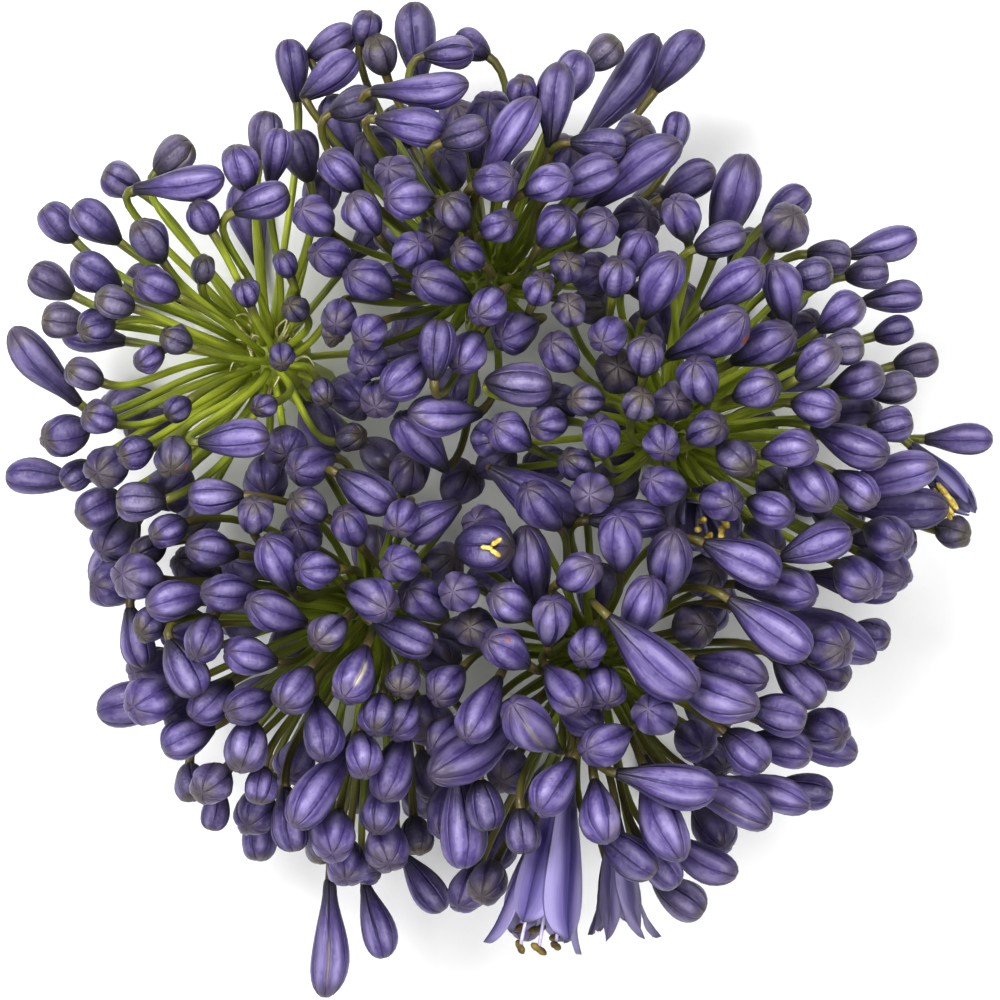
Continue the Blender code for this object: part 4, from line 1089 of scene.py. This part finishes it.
def hubSkin(hub, lush):
    # A ball a little flatter than round, rippled by two waves that run round and up it.
    s = hubShape
    rows = np.linspace(0.06, 0.94, 14)
    turns = np.linspace(0, 1, 25)
    rise = -np.cos(rows * math.pi)[:, None]
    angle = turns[:-1][None] * math.tau
    first, second = s["ripples"]
    up = rows[:, None]
    ripple = 1 + first * np.cos(7 * angle + 9 * up) + second * np.cos(5 * angle - 14 * up)
    level = np.sin(rows * math.pi)[:, None] * ripple * hubRadius
    height = rise * hubRadius * s["flatness"] + 0 * angle
    rings = np.stack([level * np.cos(angle), level * np.sin(angle), height], axis=-1) + hub
    poles = np.array([[hub - [0, 0, hubRadius * 0.9], hub + [0, 0, hubRadius * s["flatness"]]]])
    marks = {"tone": np.array([s["tone"]]), "lush": np.array([lush])}
    return closedSkins(rings[None], poles, rows * 0.12, turns, **marks)


scapeShape = {"waist": 0.08, "ribs": 8, "ribHeight": 0.02, "tone": 0.5}  # over the radius


def scapeSkin(hub, cut, lush):
    # The flower stalk from its flat cut on the ground up into the hub, with shallow ribs.
    s = scapeShape
    rows = np.linspace(0, 1, 12)
    turns = np.linspace(0, 1, 25)
    angle = turns[:-1][None, :, None] * math.tau
    foot = np.array([cut[0], cut[1], 0.0])
    top = hub - [0, 0, 1.5]
    waist = 1 - s["waist"] * np.sin(rows * math.pi)
    ribs = 1 + s["ribHeight"] * np.cos(s["ribs"] * angle)
    radius = scapeRadius * waist[:, None, None] * ribs
    centre = foot + (top - foot) * rows[:, None]
    rings = centre[:, None] + radius * (np.cos(angle) * [1, 0, 0] + np.sin(angle) * [0, 1, 0])
    poles = np.array([[foot, top]])
    marks = {"tone": np.array([s["tone"]]), "lush": np.array([lush])}
    return closedSkins(rings[None], poles, rows * 0.4 + 0.1, turns, **marks)


bladeShape = {
    "rows": 24, "across": 9, "thickness": 0.42,
    "curl": 0.10,  # of the spread, at the edges near the tip
    "wrinkle": 0.5,  # of a withered blade, in mm
    "whorlStep": 0.13,  # how much nearer the axis every other blade stands
    "foreshort": 0.20,  # of the length, less on the side that faces up, so that the mouth shows
    # Each form: share of the length, distance from the axis and half width over the spread.
    "flared": ((0.0, 0.08, 0.09), (0.12, 0.15, 0.15), (0.30, 0.29, 0.27), (0.50, 0.46, 0.38),
               (0.68, 0.59, 0.45), (0.80, 0.67, 0.46), (0.90, 0.75, 0.41), (0.96, 0.84, 0.29),
               (0.99, 0.90, 0.15), (1.0, 0.92, 0.05)),
    "withered": ((0.0, 0.08, 0.09), (0.12, 0.16, 0.15), (0.30, 0.30, 0.27), (0.50, 0.44, 0.34),
                 (0.68, 0.54, 0.34), (0.80, 0.60, 0.28), (0.90, 0.72, 0.20), (0.97, 0.86, 0.10),
                 (1.0, 0.92, 0.03)),
    "cupped": ((0.0, 0.10, 0.12), (0.15, 0.34, 0.30), (0.35, 0.62, 0.45), (0.55, 0.80, 0.55),
               (0.75, 0.92, 0.50), (0.88, 0.95, 0.36), (0.96, 0.92, 0.18), (1.0, 0.88, 0.02)),
    "folded": ((0.0, 0.22, 0.24), (0.15, 0.36, 0.36), (0.35, 0.58, 0.48), (0.55, 0.82, 0.60),
               (0.75, 0.86, 0.56), (0.88, 0.66, 0.40), (0.96, 0.42, 0.20), (1.0, 0.30, 0.02)),
}


def bladeSkins(base, axis, length, spread, spin, form, rng):
    # Six blades round one axis. A blade is a thin closed skin: across it, x runs from edge to edge
    # on the outer face and back on the inner one, and it bows round the axis like part of a tube.
    # Every other blade stands nearer the axis, and each differs a little by chance.
    s = bladeShape
    table = np.array(s[form])
    rows = 1 - (1 - np.linspace(0.01, 0.995, s["rows"])) ** 1.4
    reach = smoothed(np.interp(rows, table[:, 0], table[:, 1]) * spread)
    half = smoothed(np.interp(rows, table[:, 0], table[:, 2]) * spread)
    turn = np.arange(2 * s["across"]) / (2 * s["across"]) * math.tau
    x, face = np.cos(turn)[None], np.sin(turn)[None]
    along = rows[:, None]
    side, other = sidesOf(axis)
    rings, poles = [], []
    for k in range(6):
        angle = spin + k * math.tau / 6 + rng.normal(0, 0.04)
        out = side * math.cos(angle) + other * math.sin(angle)
        across = np.cross(axis, out)
        inner = k % 2
        up = max(out[2], 0.0)
        stretch = length * (1 - 0.03 * inner - s["foreshort"] * up + rng.normal(0, 0.015))
        distance = reach * (1 - s["whorlStep"] * inner) * (1 + rng.normal(0, 0.04) * rows ** 2)
        bow = np.maximum(distance, 0.5)[:, None] * (1 + 1.2 * along ** 3)
        swing = x * half[:, None] / bow
        depth = s["thickness"] / 2 * face * np.minimum(half / 1.2, 1)[:, None]
        curl = s["curl"] * spread * along ** 3 * (x ** 2)
        if form == "withered":
            curl = curl + s["wrinkle"] * along ** 2 * np.sin(along * 17 + x * 4 + rng.random() * 6)
            distance = distance * (1 + rng.normal(0, 0.14) * rows)
        outward = (distance[:, None] + depth - bow * (1 - np.cos(swing)) - curl)[..., None]
        centre = base + axis * (stretch * rows)[:, None]
        rings.append(centre[:, None] + out * outward + across * (bow * np.sin(swing))[..., None])
        tip = base + axis * stretch + out * distance[-1] * 1.01
        poles.append(np.array([base + out * reach[0], tip]))
    turns = np.linspace(0, 1, 2 * s["across"] + 1)
    skin = closedSkins(np.array(rings), np.array(poles), rows, turns, tone=rng.random(6))
    for key in ("quadMap", "capMap"):
        # The map goes across each face in the same way, and the inner face's is moved by 2.
        u = skin[key][..., 0]
        isInner = u.mean(axis=1, keepdims=True) > 0.5
        skin[key][..., 0] = 0.5 + 0.5 * np.cos(u * math.tau) + 2 * isInner
    return skin


def smoothed(values):
    # Each value averaged with its neighbours, twice, the ends kept.
    for _ in range(2):
        inside = (values[:-2] + values[1:-1] * 2 + values[2:]) / 4
        values = np.concatenate([values[:1], inside, values[-1:]])
    return values


threadShape = {"radius": 0.36, "anther": 0.85, "antherLength": 3.6}


def threadSkins(starts, controls, ends, radius, profile=None, around=6, count=12):
    # A tube of changing radius along a curve from each start past its control point to each end.
    rows = np.linspace(0, 1, count)
    t = rows[None, :, None]
    a, b, c = starts[:, None], controls[:, None], ends[:, None]
    points = a * (1 - t) ** 2 + b * 2 * t * (1 - t) + c * t * t
    way = unit(np.gradient(points, axis=1))
    side = sidesOf(unit(ends - starts))[0][:, None]
    shape = np.ones(count) if profile is None else profile(rows)
    rings = tubeRings(points, way, side, radius * shape, around)
    poles = np.stack([points[:, 0], points[:, -1]], axis=1)
    turns = np.linspace(0, 1, around + 1)
    return closedSkins(rings, poles, rows, turns, tone=np.linspace(0, 1, len(starts)))


def antherSkins(ends, ways, size=1.0, slender=1.0):
    # A small two-lobed bag lying across the end of each filament.
    half = ways * threadShape["antherLength"] / 2 * size * slender
    radius = threadShape["anther"] * size

    def bulge(rows):
        notch = 1 - 0.25 * np.sin(rows * math.pi) ** 8
        return np.sin((rows * 0.94 + 0.03) * math.pi) ** 0.5 * notch

    return threadSkins(ends - half, ends + [0, 0, 0.4], ends + half, radius, bulge, 8, 10)


peeping = {
    "near": (-1.8, -8.2), "along": 0.80, "size": 0.72,
    "sideways": (-1.0, 1.1, 0.1), "forward": (0.9, 0.7, -1.1),  # of each anther
}


def peepingAnthers(f):
    # Three fresh anthers that push out near the tip of the highest bud at this place. Returns them
    # and the bud's row.
    s = peeping
    tips = f["base"] + f["axis"] * (f["length"] * s["along"])[:, None]
    off = np.linalg.norm(tips[:, :2] - s["near"], axis=1) - 0.08 * tips[:, 2]
    row = int(np.where(f["flower"], 99, off).argmin())
    axis = f["axis"][row]
    up = unit(np.array([0, 0, 1.0]) - axis * axis[2])
    side = np.cross(axis, up)
    sideways, forward = np.array(s["sideways"])[:, None], np.array(s["forward"])[:, None]
    ends = tips[row] + up * f["width"][row] * 0.44 + side * sideways + axis * forward
    return antherSkins(ends, unit(axis + side * sideways * 0.6), s["size"]), row


stamens = {
    "wide": 0.36,  # distance of the anthers from the axis over the spread
    "uneven": 0.08,  # of the length, from the shortest stamen to the longest
    "lie": 1.0,  # 1 where an anther lies across the flower, 0 where it points along it
    "slender": 1.0,  # length of an anther over its usual length
}
stamenForms = {  # what differs from that in one form of flower
    "cupped": {"lie": 0.45},
    "folded": {"wide": 0.96, "uneven": 0.05, "lie": 0.0, "slender": 1.9,
               "facing": (-0.6, -0.5, 0.6), "apart": 0.42},  # in a row on this side, radians apart
}


def openFlowerSkins(f, row, flower, rng):
    # Blades, filaments and anthers of one open flower. The stamens stand evenly round its axis, or
    # in a row on one side.
    base, axis, length, spin = f["base"][row], f["axis"][row], f["length"][row], f["spin"][row]
    spread = f["width"][row] / 1.5
    blades = bladeSkins(base, axis, length, spread, spin, flower["form"], rng)
    count = flower["threads"]
    if not count:
        return blades, None, None
    s = {**stamens, **stamenForms.get(flower["form"], {})}
    side, other = sidesOf(axis)
    turn = spin + (np.arange(count) + 0.5) * math.tau / count
    if "facing" in s:
        facing = np.array(s["facing"])
        turn = np.linspace(-s["apart"], s["apart"], count)
        turn = math.atan2(other @ facing, side @ facing) + turn
    out = side * np.cos(turn)[:, None] + other * np.sin(turn)[:, None]
    start = base + axis * length * 0.3 + out * spread * 0.12
    reach = np.linspace(flower["reach"] - s["uneven"], flower["reach"], count)
    end = base + axis * length * reach[:, None] + out * spread * s["wide"]
    bend = (start + end) / 2 + out * spread * 0.08 + [0, 0, 0.8]
    filaments = threadSkins(start, bend, end, threadShape["radius"])
    ways = unit(np.cross(out, axis) * s["lie"] + axis * (1 - s["lie"] * 0.5) + out * 0.15)
    return blades, filaments, antherSkins(end, ways, slender=s["slender"])


paperShape = {
    "radius": 0.42,
    "open": 26, "hidden": 6,  # how many on an open hub and on the others
    "reach": (1, 8), "rise": (6, 13),  # least and most, outwards and up
    "scatter": 2.5,
}


def paperThreads(hub, rng, count):
    # Thin withered bracts that curl up between the pedicels of the hub.
    s = paperShape
    turn = rng.random(count) * math.tau
    out = np.column_stack([np.cos(turn), np.sin(turn), np.zeros(count)])
    start = hub + out * hubRadius * 0.6 + [0, 0, hubRadius * 0.5]
    reach = rng.uniform(*s["reach"], count)[:, None]
    rise = rng.uniform(*s["rise"], count)[:, None] * [0, 0, 1]
    end = hub + out * (hubRadius * 0.5 + reach) + rise
    bend = (start + end) / 2 + [0, 0, 4] + rng.normal(0, s["scatter"], (count, 3))
    return threadSkins(start, bend, end, s["radius"], lambda rows: 1 - 0.75 * rows)


plainFinishes = [
    # name, darker and lighter colour, roughness and blotches a metre
    ("freshAnther", (0.42, 0.30, 0.05), (0.80, 0.66, 0.20), 0.7, 900),
    ("shedAnther", (0.065, 0.052, 0.022), (0.24, 0.17, 0.04), 0.7, 700),
    ("filamentSkin", (0.45, 0.42, 0.66), (0.62, 0.58, 0.78), 0.45, 400),
    ("withered", (0.52, 0.47, 0.24), (0.88, 0.84, 0.62), 0.6, 500),
]


def headPieces():
    # The buds, stalks and flowers of each umbel, in place of its CAD node.
    florets = layOut()
    curves = pedicelCurves(florets)
    rng = np.random.default_rng(seed + 70)
    buds = budMaterial()
    stalks = stalkMaterial()
    tepals = tepalMaterial("tepalSkin", 0)
    oldTepals = tepalMaterial("fadedTepalSkin", 0.7)
    fresh, shed, filament, paper = (plainLivingMaterial(*finish) for finish in plainFinishes)
    owners = florets["owner"]
    rows = np.arange(len(owners))
    for index, (name, u) in enumerate(umbels.items()):
        own = rows[(owners == index) & ~florets["flower"]]
        every = rows[owners == index]
        hub = np.array(u["hub"], float)
        short = name.replace("umbel_", "")
        makePiece(short + "_buds", budSkins(florets, own), buds, name)
        # each umbel's lushness, raised on the right umbel as painted light on its shaded stalks
        lush = stalkFinish["lush"][name]
        green = joinSkins([stalkSkins(florets, curves, every, lush), hubSkin(hub, lush),
                           scapeSkin(hub, u["cut"], lush)])
        makePiece(short + "_stalks", green, stalks, name)
        count = paperShape["open"] if u["window"] else paperShape["hidden"]
        makePiece(short + "_bracts", paperThreads(hub, rng, count), paper, name)
        print("umbel", short, "with", len(own), "buds")
    bags, row = peepingAnthers(florets)
    nodes = list(umbels)
    makePiece("peeping_anthers", bags, fresh, nodes[owners[row]])
    for index, flower in enumerate(openFlowers):
        row = len(rows) - len(openFlowers) + index
        node, name = nodes[owners[row]], "flower%d" % (index + 1)
        blades, filaments, bags = openFlowerSkins(florets, row, flower, rng)
        skin = oldTepals if flower["form"] == "withered" else tepals
        makePiece(name + "_tepals", blades, skin, node)
        if filaments:
            makePiece(name + "_filaments", filaments, filament, node)
            dust = shed if flower["form"] == "flared" else fresh
            makePiece(name + "_anthers", bags, dust, node)
        print("open flower", index + 1)


studio = {
    "lens": 216.0, "height": 1.24,  # the head fills the frame from straight above
    "floor": (0.88, 0.88, 0.88), "skyStrength": 0.05, "exposure": 0.0, "gamma": 0.76,
    "key": {"place": (-0.45, 0.42, 0.95), "size": 0.40, "power": 4.85},
    "ring": {"count": 8, "radius": 0.62, "height": 0.92, "size": 0.40, "power": 3.22},
}


def buildStudio():
    # A pale floor, a ring of soft lamps, a stronger one at the upper left and the camera above.
    s = studio
    scene = bpy.context.scene
    bpy.ops.mesh.primitive_plane_add(size=6, location=(0, 0, 0))
    floor = bpy.context.object
    floor.name = "floor"
    finish = Recipe("floorFinish", 0.8)
    finish.shader.inputs["Base Color"].default_value = (*s["floor"], 1)
    floor.data.materials.append(finish.material)
    ring = s["ring"]
    lamps = []
    for turn in (k * math.tau / ring["count"] for k in range(ring["count"])):
        x, y = math.cos(turn) * ring["radius"], math.sin(turn) * ring["radius"]
        lamps.append({**ring, "place": (x, y, ring["height"])})
    for setting in lamps + [s["key"]]:
        place = setting["place"]
        lamp = bpy.data.lights.new("softLamp", "AREA")
        lamp.shape = "DISK"
        lamp.size = setting["size"]
        lamp.energy = setting["power"]
        holder = bpy.data.objects.new("softLamp", lamp)
        holder.location = place
        holder.rotation_euler = (-Vector(place)).to_track_quat("-Z", "Y").to_euler()
        scene.collection.objects.link(holder)
    world = bpy.data.worlds.new("surround")
    world.use_nodes = True
    sky = world.node_tree.nodes["Background"].inputs
    sky["Color"].default_value = (1, 1, 1, 1)
    sky["Strength"].default_value = s["skyStrength"]
    scene.world = world
    eye = bpy.data.cameras.new("eye")
    eye.lens = s["lens"]
    eye.clip_end = 20
    holder = bpy.data.objects.new("eye", eye)
    holder.location = (0, 0, s["height"])
    scene.collection.objects.link(holder)
    scene.camera = holder
    view = scene.view_settings
    view.view_transform = "Standard"
    view.look = "None"
    view.exposure = s["exposure"]
    view.gamma = s["gamma"]


buildStudio()
print("studio ready")
headPieces()
print("head ready")
